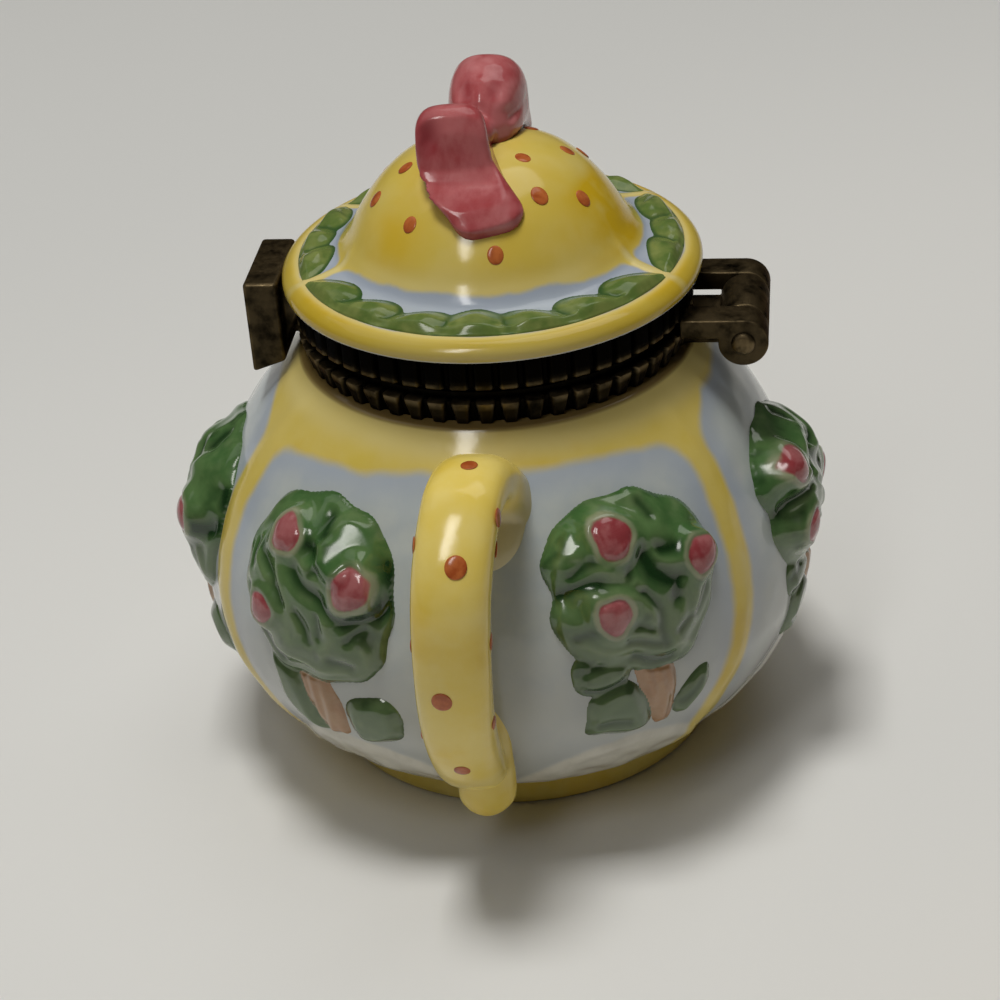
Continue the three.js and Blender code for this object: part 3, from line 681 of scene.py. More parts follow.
# %% Rose trees: outlines and strokes
TREE_FORMS = {
    "round": {
        "crown": [
            (-2.6, 5.7), (-0.6, 6.4), (1.4, 6.5), (3.6, 6.1), (5.7, 5.1), (7.0, 3.2), (7.8, 1.2),
            (8.0, -1.2), (7.6, -3.4), (6.5, -5.0), (4.3, -5.7), (1.9, -5.9), (-0.4, -6.0), (-2.2, -5.1),
            (-3.9, -3.6), (-5.0, -2.0), (-5.5, -0.2), (-5.5, 1.4), (-4.9, 3.0), (-4.0, 4.6),
        ],
        "trunk": [
            (0.3, -5.2), (2.9, -5.0), (3.6, -6.6), (4.1, -7.6), (4.2, -9.2), (4.0, -10.7), (2.1, -11.0),
            (1.6, -9.2), (0.8, -7.3),
        ],
        "bushes": [
            [
                (-2.3, -4.6), (-2.1, -7.0), (-1.3, -9.2), (0.2, -10.8), (2.2, -11.0), (1.9, -9.4),
                (1.1, -7.4), (0.4, -5.4),
            ],
            [
                (4.1, -8.6), (4.7, -7.2), (5.8, -6.3), (7.0, -6.0), (8.2, -6.7), (9.0, -7.9), (8.7, -9.2),
                (7.6, -10.2), (6.0, -10.8), (4.6, -10.4),
            ],
        ],
        "blossoms": [(-0.6, 3.6, 1.2), (5.2, 1.6, 1.4), (-1.7, -1.5, 1.1)],
        "facets": [(4.0, 3.9, 2.0, 1.3, -0.31, -0.31)],
        "creases": [
            (0.28, (0.6, 1.6), (2.0, 0.8), (3.5, 0.1), (5.2, -0.4)),
            (0.42, (5.2, -0.4), (6.9, 0.2), (7.9, 1.2)), (0.34, (6.6, 3.3), (7.5, 2.2)),
            (0.22, (-2.1, 1.8), (-1.0, 0.8), (-0.1, -0.5)), (0.3, (1.1, 3.5), (2.1, 3.2)),
            (0.2, (3.1, -0.8), (3.1, -1.9)), (0.2, (-3.5, 2.0), (-3.4, 1.0)),
            (0.2, (1.9, 1.9), (2.5, 2.2)), (0.22, (5.3, -1.9), (6.4, -0.9)),
            (0.2, (1.2, -0.8), (2.6, -2.6)), (0.25, (-2.6, -3.6), (-0.4, -4.6)),
            (0.22, (4.2, -3.4), (5.6, -3.8)), (0.3, (1.7, 5.2), (2.2, 4.4)),
            (0.25, (-3.6, -0.9), (-3.2, -1.9)),
        ],
        "ridges": [
            (0.2, (-2.6, 1.5), (-1.7, 0.6), (-0.7, 0.4)),
            (0.22, (-0.9, 2.4), (-0.6, 1.0), (0.3, -0.2), (1.6, -2.2)),
            (0.2, (-0.9, -3.9), (1.3, -4.3), (3.4, -4.4), (5.3, -4.5)), (0.2, (-3.9, 0.2), (-2.7, -0.4)),
            (0.25, (3.8, -0.9), (4.1, -1.9), (3.6, -3.0)), (0.24, (0.1, 2.7), (1.5, 2.1), (3.0, 1.1)),
            (0.25, (-4.2, 3.2), (-3.0, 4.9)), (0.22, (6.2, -1.9), (6.8, -3.4)),
        ],
    },
    "broad": {
        "crown": [
            (0.8, 6.5), (3.0, 5.5), (4.9, 4.0), (6.0, 2.4), (6.2, 0.3), (5.5, -1.5), (4.4, -3.4),
            (2.7, -5.3), (1.3, -5.8), (-1.5, -5.1), (-3.4, -4.4), (-5.5, -3.6), (-6.6, -1.9), (-6.9, -0.3),
            (-6.5, 1.3), (-6.8, 3.0), (-6.2, 4.5), (-5.1, 5.5), (-3.4, 6.2), (-1.3, 6.6),
        ],
        "trunk": [
            (-1.7, -4.4), (0.0, -4.7), (1.4, -5.2), (1.7, -7.0), (1.4, -8.2), (1.2, -10.6), (-0.2, -10.6),
            (-0.5, -8.6), (-1.4, -6.6),
        ],
        "bushes": [
            [
                (-5.4, -3.0), (-6.1, -4.2), (-6.2, -6.0), (-4.4, -6.3), (-2.3, -6.2), (-1.4, -4.4),
                (-3.0, -3.4),
            ],
            [
                (-4.9, -5.8), (-5.2, -7.8), (-5.7, -9.7), (-3.2, -10.4), (-0.5, -10.5), (-0.3, -8.9),
                (-1.2, -7.0), (-1.9, -5.6),
            ],
            [(1.4, -9.9), (1.6, -8.2), (3.0, -7.0), (4.7, -6.8), (4.5, -8.5), (3.2, -10.0), (2.2, -10.5)],
        ],
        "blossoms": [(-2.1, 4.1, 1.35), (3.8, 1.5, 1.2), (-3.0, -0.4, 1.2)],
        "facets": [(-4.9, 4.4, 1.0, 0.85, 0.3, -0.28)],
        "creases": [
            (0.4, (-0.4, 2.6), (0.1, 1.5), (1.8, 0.6), (1.6, -0.3)), (0.26, (-5.0, 2.4), (-3.7, 2.9)),
            (0.3, (-6.3, 1.4), (-5.2, 1.6), (-3.4, 1.6)),
            (0.23, (-0.7, 0.4), (0.1, -0.8), (0.3, -2.2), (0.5, -3.2)), (0.2, (-2.1, -2.4), (0.3, -3.1)),
            (0.18, (-1.6, -1.4), (-0.5, -1.9)), (0.2, (-1.5, 2.4), (-1.4, 1.6)),
            (0.2, (1.7, -2.7), (3.0, -2.0), (4.3, -0.6)), (0.28, (-1.8, -3.8), (0.8, -4.7)),
            (0.2, (-5.7, -4.5), (-4.1, -3.8)), (0.25, (-5.4, -5.7), (-2.4, -5.7)),
            (0.32, (1.0, 2.7), (2.0, 2.6)), (0.24, (-5.5, -1.6), (-4.3, -1.3)),
            (0.26, (0.7, 5.4), (1.1, 4.7)), (0.2, (2.0, -8.9), (3.6, -7.8)),
            (0.2, (-4.4, -8.6), (-2.2, -8.9)),
        ],
        "ridges": [
            (0.22, (-3.8, 2.6), (-2.1, 2.0), (-0.7, 0.9)),
            (0.22, (-5.2, 1.1), (-2.5, 1.1), (-0.9, 0.0), (-0.4, -1.4)), (0.16, (2.3, 0.2), (1.8, -1.7)),
            (0.2, (0.4, 2.2), (2.1, 1.5)), (0.18, (-1.7, -2.0), (0.0, -2.4)),
            (0.22, (-5.6, -2.2), (-3.0, -2.9), (-1.4, -3.2)), (0.22, (3.2, -0.9), (2.6, -2.4)),
            (0.24, (-5.8, 3.2), (-5.0, 4.4)), (0.22, (1.2, -3.4), (2.6, -4.2)),
        ],
    },
}
SIDE_BLOSSOMS = {
    "tree_hinge": [(-4.1, 3.6, 1.35), (4.6, -1.4, 1.2), (-4.3, -0.9, 1.2)],
    "tree_clasp": [(-2.6, 2.0, 1.2), (4.5, 0.0, 1.4), (-3.5, -3.1, 1.1)],
}


def mirrored(form, way):
    def turned(row):
        return [way * row[0], *row[1:]]

    flipped = {part: [turned(row) for row in form[part]] for part in ("crown", "trunk", "blossoms")}
    flipped["bushes"] = [[turned(row) for row in bush] for bush in form["bushes"]]
    flipped["facets"] = [
        (way * u, v, reach, height, way * lean_u, lean_v)
        for u, v, reach, height, lean_u, lean_v in form["facets"]
    ]
    for part in ("creases", "ridges"):
        flipped[part] = [[half, *(turned(row) for row in path)] for half, *path in form[part]]
    return flipped


print("strokes:", {kind: len(form["creases"]) + len(form["ridges"]) for kind, form in TREE_FORMS.items()})


# %% Rose trees: distances
def rounded_outline(points, rounds=3):
    outline = np.array(points, float)
    for _ in range(rounds):
        ahead = np.roll(outline, -1, axis=0)
        outline = np.stack([0.75 * outline + 0.25 * ahead, 0.25 * outline + 0.75 * ahead], 1).reshape(-1, 2)
    return outline


def stroke_distance(u, v, start, end):
    across, along = end[0] - start[0], end[1] - start[1]
    share = ((u - start[0]) * across + (v - start[1]) * along) / (across * across + along * along)
    share = np.clip(share, 0, 1)
    return np.hypot(u - start[0] - share * across, v - start[1] - share * along)


def depth_inside(u, v, points):
    outline = rounded_outline(points)
    nearest = np.full_like(u, FAR)
    inside = np.zeros(u.shape, bool)
    for start, end in zip(outline, np.roll(outline, -1, axis=0)):
        nearest = np.minimum(nearest, stroke_distance(u, v, start, end))
        crosses = (start[1] > v) != (end[1] > v)
        inside ^= crosses & (u < (end[0] - start[0]) * (v - start[1]) / (end[1] - start[1] + 1e-9) + start[0])
    return np.where(inside, nearest, -nearest)


def stroke_field(u, v, paths, spread):
    field = np.zeros_like(u)
    for half, *path in paths:
        away = np.min([stroke_distance(u, v, *pair) for pair in zip(path, path[1:])], axis=0)
        field = np.maximum(field, np.exp(-((away / (half * spread)) ** 2)) * min(half / 0.3, 1.15))
    return field


crown_middle = depth_inside(np.zeros(1), np.zeros(1), TREE_FORMS["round"]["crown"])
print("the round crown's middle lies", round(float(crown_middle[0]), 2), "mm inside its outline")

# %% Rose trees: relief
CROWN_HEIGHT = 1.42
CROWN_SLOPE = 3.2
CROWN_EDGE = 0.28
EDGE_ROOT = -0.25
CREASE_DEPTH = 0.25
RIDGE_HEIGHT = 0.14
LUMP_HEIGHT = 0.1
TRUNK_HEIGHT = 0.5
BUSH_HEIGHT = 0.62
LEAST_HEIGHT = 0.12
BLOSSOM_RISE = 0.2
HAND_BEND = 0.12


def lifted(depth, height, slope):
    return np.where(depth > 0, height * step(EDGE_ROOT, slope, depth), depth)


def crown_surface(form, u, v, depth, ridge):
    lumps = LUMP_HEIGHT * np.sin(1.35 * u + 0.9 * np.sin(0.9 * v)) * np.sin(1.5 * v + 0.8 * np.sin(1.1 * u))
    edge, dome = step(EDGE_ROOT, 0.6, depth), step(EDGE_ROOT, CROWN_SLOPE, depth)
    domed = CROWN_EDGE * edge + (1 - CROWN_EDGE) * dome
    out = np.where(depth > 0, CROWN_HEIGHT * domed, depth)
    out = out + step(0, 1.1, depth) * (RIDGE_HEIGHT * ridge + lumps)
    for middle_u, middle_v, reach, height, lean_u, lean_v in form["facets"]:
        plane = height + lean_u * (u - middle_u) + lean_v * (v - middle_v)
        share = step(1.3, 0.7, np.hypot(u - middle_u, v - middle_v) / reach) * step(0.1, 0.8, depth)
        out = out + (plane - out) * share
    return out


def blossom_share(form, u, v):
    """Distance from the nearest blossom's middle, as a share of its uneven radius."""
    share = np.full_like(u, BARE)
    for middle_u, middle_v, size in form["blossoms"]:
        turn = np.arctan2(v - middle_v, u - middle_u)
        bent = 1 + 0.06 * np.sin(3 * turn + middle_u) + 0.03 * np.sin(5 * turn + middle_v)
        share = np.minimum(share, np.hypot(u - middle_u, v - middle_v) / size * bent)
    return share


def tree_relief(form):
    def relief(u, v):
        bent_u = u + HAND_BEND * np.sin(1.9 * v + 0.6 * u)
        bent_v = v + HAND_BEND * np.sin(1.7 * u - 0.5 * v)
        depth = depth_inside(bent_u, bent_v, form["crown"])
        ridge = stroke_field(bent_u, bent_v, form["ridges"], 1.5)
        out = crown_surface(form, u, v, depth, ridge)
        leafy = depth.copy()
        for bush in form["bushes"]:
            inward = depth_inside(bent_u, bent_v, bush)
            leafy = np.maximum(leafy, inward)
            out = -soft_min(-out, -lifted(inward, BUSH_HEIGHT, 1.0), 0.25)
        valley = stroke_field(bent_u, bent_v, form["creases"], 1.9)
        out = out - CREASE_DEPTH * valley * step(0, 0.7, leafy)
        out = np.where(leafy > 0.1, np.maximum(out, LEAST_HEIGHT), out)
        trunk = depth_inside(u, v, form["trunk"])
        furrows = np.where(trunk > 0, 0.05 * np.sin(7 * u + 1.5 * np.sin(v)), 0)
        bark = lifted(trunk, TRUNK_HEIGHT, 0.9) + furrows
        wood = step(-0.08, 0.12, bark - np.maximum(out, -0.3)) * step(0.5, 0.1, depth)
        out = np.where(depth > 0.5, out, np.maximum(out, bark))
        share = blossom_share(form, u, v)
        mound = step(1.75, 0.9, share)
        full = np.maximum(out, CROWN_HEIGHT * step(EDGE_ROOT, 1.2, depth))
        out = out + (full - out) * mound + BLOSSOM_RISE * mound
        ring = 0.07 * np.exp(-(((share - 0.9) / 0.1) ** 2))
        out = out + BLOSSOM_RISE * np.clip(1 - (share / 0.85) ** 2, 0, 1) - ring
        pooled = stroke_field(bent_u, bent_v, form["creases"], 1.5) * (1 - step(1.35, 1.1, share))
        border = 0.35 * step(0.3, 0.0, np.abs(leafy))
        crease = np.maximum(pooled, border) * step(-0.2, 0.15, leafy)
        bright = ridge * step(0, 1.1, depth)
        return out, {"crease": crease, "ridge": bright, "blossom": share, "wood": wood, "rise": v}

    return relief


print("crown stands out by", CROWN_HEIGHT, "mm, bushes by", BUSH_HEIGHT, "mm")

# %% [markdown]
# ### Foliage glaze
# The greens are washed on in several thin coats: bluish on top, greyer below, nearly black where the
# glaze pools in a fold. The blossoms are rose with a pale rim, the trunks peach. All of it follows the
# relief, so the material reads the values that the relief left on the vertices.

# %% Foliage glaze
FOLIAGE_GLOSS = 0.75
foliage, tree, shader, place = new_material("foliage_glaze")
green = brushed(tree, place, 330.0, (0.095, 0.18, 0.06, 1), (0.05, 0.125, 0.035, 1))
lower = fade(tree, painted(tree, "rise"), 2.5, -3.0)
green = mix_colour(tree, times(tree, lower, 0.6), green, (0.11, 0.15, 0.07, 1))
light = cloudy(tree, place, 420.0, 0.52, 0.75, 0.45, 2.0)
pale = calculate(tree, "MAXIMUM", light, times(tree, painted(tree, "ridge"), 0.6))
green = mix_colour(tree, pale, green, (0.185, 0.25, 0.115, 1))
dark_spots = cloudy(tree, place, 380.0, 0.56, 0.72, 0.6, 2.0)
shade = calculate(tree, "MAXIMUM", painted(tree, "crease"), dark_spots)
green = mix_colour(tree, times(tree, shade, 0.95, True), green, (0.006, 0.032, 0.006, 1))
bark_colour = brushed(tree, place, 600.0, (0.42, 0.255, 0.135, 1), (0.37, 0.195, 0.092, 1))
colour = mix_colour(tree, fade(tree, painted(tree, "wood"), 0.3, 0.7), green, bark_colour)
ring = calculate(tree, "ADD", painted(tree, "blossom"), hand_waver(tree, place, 900.0, 0.25))
broken = fade(tree, noise_value(tree, place, 300.0, 1.0), 0.34, 0.52, 0.25, 0.95)
halo = times(tree, fade(tree, ring, 1.3, 1.08), broken)
colour = mix_colour(tree, halo, colour, (0.27, 0.29, 0.18, 1))
rose = brushed(tree, place, 560.0, (0.375, 0.125, 0.13, 1), (0.265, 0.04, 0.047, 1))
colour = mix_colour(tree, fade(tree, ring, 1.0, 0.84), colour, rose)
glazed(tree, shader, place, colour, FOLIAGE_GLOSS)
print("foliage glaze has", len(tree.nodes), "nodes")

# %% Rose trees: laid on the belly
TREE_BOX = ((-9.4, -11.6), (9.4, 7.6))
TREE_PITCH = 0.12
FRONT_BULGE, SIDE_BULGE = 0.25, 0.66
CLASP_FLAT = 0.82
for node, (azimuth, crown_z, kind, way) in TREE_PLACES.items():
    form = mirrored(TREE_FORMS[kind], way)
    if node in SIDE_BLOSSOMS:
        form["blossoms"] = SIDE_BLOSSOMS[node]
        form["facets"] = []
    bulge = SIDE_BULGE if node in SIDE_BLOSSOMS else FRONT_BULGE
    flat = CLASP_FLAT if node == "tree_clasp" else 1.0
    turn = math.radians(azimuth)

    def surface(u, v, out, turn=turn, crown_z=crown_z, flat=flat, bulge=bulge):
        z = crown_z + v
        ease = flat + (1 - flat) * step(0.0, 5.5, u)
        turned_side = step(-4.0, 0.5, u) if flat < 1 else 1
        ease = ease + bulge * step(-3.5, 1.5, v) * step(7.0, 3.0, v) * turned_side
        return on_wall(turn + u / wall_radius(z), z, np.where(out > 0, out * ease, out))

    bm = laid_relief(TREE_BOX, TREE_PITCH, tree_relief(form), surface)
    finish_piece(node + "_relief", bm, foliage, "pot", [node])

# %% [markdown]
# ## Handle and spout
# Both are made apart and luted on with slip. A curve object with a bevel would make such tubes, but a
# grid wrapped round a line gives rows that can flare and flatten as clay does. The handle is a flat
# strap with a thick root and a small tail at its foot. These are separate closed shells, which a voxel
# remesh joins and smoothing rounds. The spout is one sweep, out along the tube and back down the bore.

# %% Swept tubes
def bezier(points, t):
    a, b, c, d = [np.array(point) for point in points]
    t = t[:, None]
    return a * (1 - t) ** 3 + 3 * b * t * (1 - t) ** 2 + 3 * c * t * t * (1 - t) + d * t ** 3


def oval(angle, power):
    across, over = np.cos(angle), np.sin(angle)
    return np.sign(across) * np.abs(across) ** (2 / power), np.sign(over) * np.abs(over) ** (2 / power)


def swept(path, ahead, wide, thick, sides, power=2.0):
    bm, angle, row = wrapped_grid(sides, len(path) - 1)
    side, rise = oval(angle, power)
    over = np.stack([ahead[:, 2] * 0, ahead[:, 2], -ahead[:, 1]], -1)
    side = np.array([1.0, 0, 0]) * (side * wide[row])[:, None]
    move_vertices(bm, (path[row] + side + over[row] * (rise * thick[row])[:, None]) * MM)
    weld(bm)
    return bm


def directions(path):
    ahead = np.gradient(path, axis=0)
    return ahead / np.linalg.norm(ahead, axis=1)[:, None]


def end_round(run, share):
    return np.sqrt(1 - (np.clip(run - 1 + share, 0, 1) / share) ** 2)


def rounded_line(points, rounds, count):
    line = np.array(points, float)
    for _ in range(rounds):
        start, end = line[:-1], line[1:]
        cut = np.stack([0.75 * start + 0.25 * end, 0.25 * start + 0.75 * end], 1).reshape(-1, 2)
        line = np.concatenate([line[:1], cut, line[-1:]])
    lengths = np.concatenate([[0], np.cumsum(np.hypot(*np.diff(line, axis=0).T))])
    even = np.linspace(0, lengths[-1], count)
    y, z = (np.interp(even, lengths, line[:, axis]) for axis in (0, 1))
    return np.stack([even * 0, y, z], -1)


print("sweep helpers ready")

# %% Handle: strap
HANDLE_LINE = [
    (-15.6, 25.4), (-17.0, 28.8), (-19.2, 30.9), (-22.4, 31.2), (-23.8, 30.4), (-25.8, 28.4), (-27.1, 26.0),
    (-27.5, 23.0), (-27.5, 20.0), (-26.8, 16.4), (-25.4, 12.9), (-23.6, 10.4), (-22.0, 8.8),
]
HANDLE_BEND = [(0, 1.3), (0.12, 0.75), (0.25, 0.3), (0.38, -0.25), (0.5, -0.5), (0.75, -0.75), (1, -0.5)]
STRAP_WIDE, STRAP_THICK = 2.66, 1.82
STRAP_POWER = 2.6
STRAP_ROWS = 179
BEND_SPAN = 25
handle_path = rounded_line(HANDLE_LINE, 4, STRAP_ROWS)
handle_run = np.linspace(0, 1, len(handle_path))
bend = np.interp(handle_run, *zip(*HANDLE_BEND))
handle_path[:, 0] = np.convolve(np.pad(bend, BEND_SPAN // 2, "edge"), np.ones(BEND_SPAN) / BEND_SPAN, "valid")
handle_ahead = directions(handle_path)
narrowing = 1 - 0.12 * handle_run ** 3
flare = np.exp(-((handle_run / 0.09) ** 2))
handle_wide = STRAP_WIDE * narrowing * (1 + 0.3 * flare)
handle_thick = STRAP_THICK * narrowing * (1 + 0.5 * flare)
blunt = end_round(handle_run, 0.05)
bm = swept(handle_path, handle_ahead, handle_wide * blunt, handle_thick * blunt, 64, STRAP_POWER)
print("strap has", len(bm.verts), "vertices")

# %% Handle: tail and root
HANDLE_TAIL = [(0.55, -21.3, 14.6), (0.55, -22.9, 10.4), (0.15, -22.3, 7.4), (-0.1, -21.7, 4.6)]
TAIL_ROWS = 90
TAIL_THICK = 1.2
ROOT_SPOT, ROOT_HALVES, ROOT_TURN = (0.75, -17.2, 26.6), (3.1, 1.6, 4.2), math.radians(-36)
tail_run = np.linspace(0, 1, TAIL_ROWS)
tail_path = bezier(HANDLE_TAIL, tail_run)
tail_wide = np.interp(tail_run, [0, 0.5, 0.8, 1], [1.2, 1.95, 2.2, 2.0]) * end_round(tail_run, 0.35)
absorb(bm, swept(tail_path, directions(tail_path), tail_wide, TAIL_THICK * end_round(tail_run, 0.3), 48))
bmesh.ops.holes_fill(bm, edges=bm.edges, sides=0)
root = bmesh.ops.create_uvsphere(bm, u_segments=48, v_segments=32, radius=1)
root_axes = Matrix.Rotation(ROOT_TURN, 4, "X") @ Matrix.Diagonal((*ROOT_HALVES, 1))
root_axes = Matrix.Translation(ROOT_SPOT) @ root_axes
bmesh.ops.transform(bm, matrix=Matrix.Scale(MM, 4) @ root_axes, verts=root["verts"])
bmesh.ops.recalc_face_normals(bm, faces=bm.faces)
bm = fused(bm, 0.16, 18)
spots = vertex_array(bm) / MM
off_wall = np.hypot(spots[:, 0] - lean(spots[:, 2]), spots[:, 1]) - wall_radius(spots[:, 2])
paint_vertices(bm, "near_wall", step(2.6, 0.4, off_wall) * step(20, 24, spots[:, 2]))
print("handle fused to", len(bm.verts), "vertices")

# %% Handle: glaze
yellow_strap, tree, shader, place = new_material("yellow_strap")
strap = brushed(tree, place, 170.0, (0.82, 0.66, 0.20, 1), (0.80, 0.61, 0.12, 1))
strap = mix_colour(tree, cloudy(tree, place, 150.0, 0.48, 0.7, 0.6), strap, (0.74, 0.51, 0.03, 1))
thin = times(tree, painted(tree, "near_wall"), 0.7)
glazed(tree, shader, place, mix_colour(tree, thin, strap, (0.50, 0.48, 0.36, 1)))
finish_piece("handle_strap", bm, yellow_strap, "pot", ["handle"])

# %% Spout
SPOUT_CURVE = [(0, 20.4, 13.0), (0, 25.4, 13.0), (0, 25.4, 21.0), (0, 27.5, 26.8)]
SPOUT_ROWS = 70
BORE_ROWS = 22
SPOUT_ROOT_R, SPOUT_TIP_R, BORE_R = 4.2, 2.1, 1.1
spout_curve = bezier(SPOUT_CURVE, np.linspace(0, 1, SPOUT_ROWS))
spout_ahead = directions(spout_curve)
outside = np.arange(SPOUT_ROWS)
bore = np.arange(SPOUT_ROWS - 1, SPOUT_ROWS - BORE_ROWS, -1)
order = np.concatenate([outside, bore])
taper = SPOUT_ROOT_R - (SPOUT_ROOT_R - SPOUT_TIP_R) * outside / (SPOUT_ROWS - 1)
lip = 1 - 0.16 * step(SPOUT_ROWS - 4, SPOUT_ROWS - 1, outside)
spout_size = np.concatenate([taper * lip, np.full(len(bore), BORE_R)])
spout_size[0] = spout_size[-1] = 0
spout_path = spout_curve[order] + np.array([LEAN, 0, 0])
bm = swept(spout_path, spout_ahead[order], spout_size, spout_size, 48)
finish_piece("spout_tube", bm, yellow_strap, "pot", ["spout"])

# %% [markdown]
# ## Lid
# The lid is a dome with a flange that ends in a rounded lip, hollow below, with a spigot for the upper
# rim. It is turned like the pot. The dome and the lip are yellow, the ring between is pale blue, and
# four slightly raised yellow lines cross it. The paint is held in fields again, golden where it ran
# thick and cream where it ran thin, and all that faces inwards stays bare. Along the front of the dome's
# foot the cream is partly a painted highlight, a thin cream line round the lip is a painted highlight,
# and the lip's outer side is darkened as painted shade.

# %% Lid: turned shell
HOLLOW_R, HOLLOW_Z, HOLLOW_H, HOLLOW_POWER = 8.5, 39.4, 5.35, 3.2
LIP_R, LIP_Z, LIP_WIDE, LIP_HIGH = 13.7, 37.4, 1.3, 1.02
SPIGOT_Z, SPIGOT_TOP = 34.6, 37.1


def hollow_height(radius):
    return HOLLOW_Z + HOLLOW_H * (1 - (radius / HOLLOW_R) ** HOLLOW_POWER)


dome_r = np.concatenate([np.linspace(0, 8, 40), np.linspace(8.1, 13.65, 56)])
crown = list(zip(dome_r, lid_height(dome_r)))
edge_turn = np.radians(np.linspace(86, -17, 18))
edge_curve = list(zip(LIP_R + LIP_WIDE * np.cos(edge_turn), LIP_Z + LIP_HIGH * np.sin(edge_turn)))
spigot = [(NECK_R, SPIGOT_TOP), (NECK_R, SPIGOT_Z), (MOUTH_R, SPIGOT_Z), (MOUTH_R, SPIGOT_TOP)]
under_r = np.linspace(HOLLOW_R, 0, 14)
under = list(zip(under_r, hollow_height(under_r)))
bm = lathe(crown + edge_curve + spigot + under, SPIN_STEPS)
print("lid profile has", len(crown + edge_curve + spigot + under), "points")

# %% Lid: painted fields
LID_LINES = (-66, 69, 129, -121)
LID_LINE_HALF = 0.42
DOME_EDGE_R, LIP_EDGE_R = 10.35, 13.65
SKIN = 0.2
spots, turn, radius, height = polar(bm)
under_dome = radius < HOLLOW_R + SKIN
hollow = hollow_height(np.minimum(radius, HOLLOW_R)) + SKIN
above = height > np.where(under_dome, hollow, SPIGOT_TOP + 0.02)
waver = 0.1 * np.sin(np.radians(turn) * 9) + 0.07 * np.sin(np.radians(turn) * 17 + 2)
dome_gap = radius - DOME_EDGE_R - 0.45 * step(25, 70, np.abs(turn)) - 0.4 * waver
edge_gap = LIP_EDGE_R + waver - radius
line_gap = np.full_like(radius, FAR)
for azimuth in LID_LINES:
    line_gap = np.minimum(line_gap, np.radians(np.abs(turn_between(turn, azimuth))) * radius)
yellow = soft_min(soft_min(dome_gap, edge_gap, 0.8), line_gap - LID_LINE_HALF, 0.9)
print("painted lines on the lid:", len(LID_LINES))

# %% Lid: thick and thin paint, painted highlights and shade
GOLD_PATCHES = [
    (-52, 22, 13.4, 15.1, 1.0), (62, 25, 13.4, 15.1, 1.0), (150, 40, 13.4, 15.1, 1.0),
    (80, 26, 7.6, 10.2, 1.0), (-42, 18, 8.4, 9.6, 0.45), (170, 60, 7.5, 9.8, 1.0),
]
gold = np.zeros_like(radius)
for azimuth, spread, inner_r, outer_r, strength in GOLD_PATCHES:
    place_in = step(inner_r - 0.9, inner_r, radius) * step(outer_r + 0.6, outer_r, radius)
    gold = np.maximum(gold, strength * place_in * np.exp(-((turn_between(turn, azimuth) / spread) ** 2)))
cream_and_highlight = step(38.3, 37.6, height) * step(13.5, 14.2, radius) * step(40, 5, np.abs(turn_between(turn, 8)))
cream_and_highlight = np.maximum(cream_and_highlight, 0.8 * step(0.6, 0.1, line_gap) * step(9.9, 10.8, radius))
# Pale cream along the front of the dome's foot: partly pale paint, partly a painted highlight.
cream_and_highlight = np.maximum(cream_and_highlight, 0.5 * np.exp(-(((radius - 10.3) / 0.6) ** 2)) * step(75, 30, np.abs(turn)))
# A thin cream line round the lip: a painted highlight.
cream_and_highlight = np.maximum(cream_and_highlight, 0.7 * np.exp(-(((radius - 13.75) / 0.3) ** 2)))
line_lift = 0.12 * np.exp(-((line_gap / 0.4) ** 2)) * step(9.6, 10.4, radius) * step(14.2, 13.6, radius)
lift = np.where(above, 0.05 * wobble(spots, 0.45) * step(14.6, 13.0, radius) + line_lift, 0)
move_vertices(bm, np.stack([spots[:, 0], spots[:, 1], height + lift], -1) * MM)
paint_vertices(bm, "yellow_edge", np.where(above, yellow, BARE))
paint_vertices(bm, "gold", np.where(above, gold, 0.0))
paint_vertices(bm, "cream_and_highlight", cream_and_highlight)
paint_vertices(bm, "bare", np.where(above, 0.0, 1.0))
paint_vertices(bm, "shaded_outer_edge", step(13.9, 14.5, radius))
print("bare vertices below:", int((~above).sum()))

# %% Lid: glaze
painted_lid, tree, shader, place = new_material("painted_lid")
edge = calculate(tree, "ADD", painted(tree, "yellow_edge"), hand_waver(tree, place, 500.0, 0.3))
sky = sky_colour(tree, place, fade(tree, edge, 1.2, 0.0, 0.5, 0.95))
thick = times(tree, painted(tree, "gold"), fade(tree, noise_value(tree, place, 260.0), 0.2, 0.6))
thick = calculate(tree, "ADD", thick, cloudy(tree, place, 120.0, 0.4, 0.65, 0.3), True)
yellow_paint = yellow_colour(tree, place, thick)
yellow_paint = mix_colour(tree, painted(tree, "cream_and_highlight"), yellow_paint, CREAM)
# The lip's outer side is painted darker gold: painted shade.
shaded_edge = times(tree, painted(tree, "shaded_outer_edge"), 0.6)
yellow_paint = mix_colour(tree, shaded_edge, yellow_paint, (0.42, 0.31, 0.035, 1))
colour = mix_colour(tree, fade(tree, edge, 0.16, -0.14), sky, yellow_paint)
colour = mix_colour(tree, painted(tree, "bare"), colour, CHALK)
glazed(tree, shader, place, colour)
finish_piece("painted_lid", bm, painted_lid, "lid", ["lid_shell"])

# %% [markdown]
# ## Leaf border
# Raised leaves lie round the flange in four runs, tips towards the dome and leaning to the middle of
# their run. They are part of the lid's mould, ribbed along their length. Leaf meshes could be placed one
# by one, but they run into each other at the edge, so the same laid grid makes each run: a low band with
# one rounded, leaning tongue for each leaf, and dark glaze in the valleys and along the outline.

# %% Leaf border: relief
LEAF_MIDDLE_R = 12.3
LEAF_OUTER_R = 13.75
LEAF_LENGTH = 2.55
LEAF_HEIGHT = 0.62
LEAF_PITCH = 0.085
LEAF_RUNS = {
    "leaves_handle": (-66, 69, 7),
    "leaves_hinge": (69, 129, 3),
    "leaves_spout": (129, 239, 7),
    "leaves_clasp": (-121, -66, 3),
}


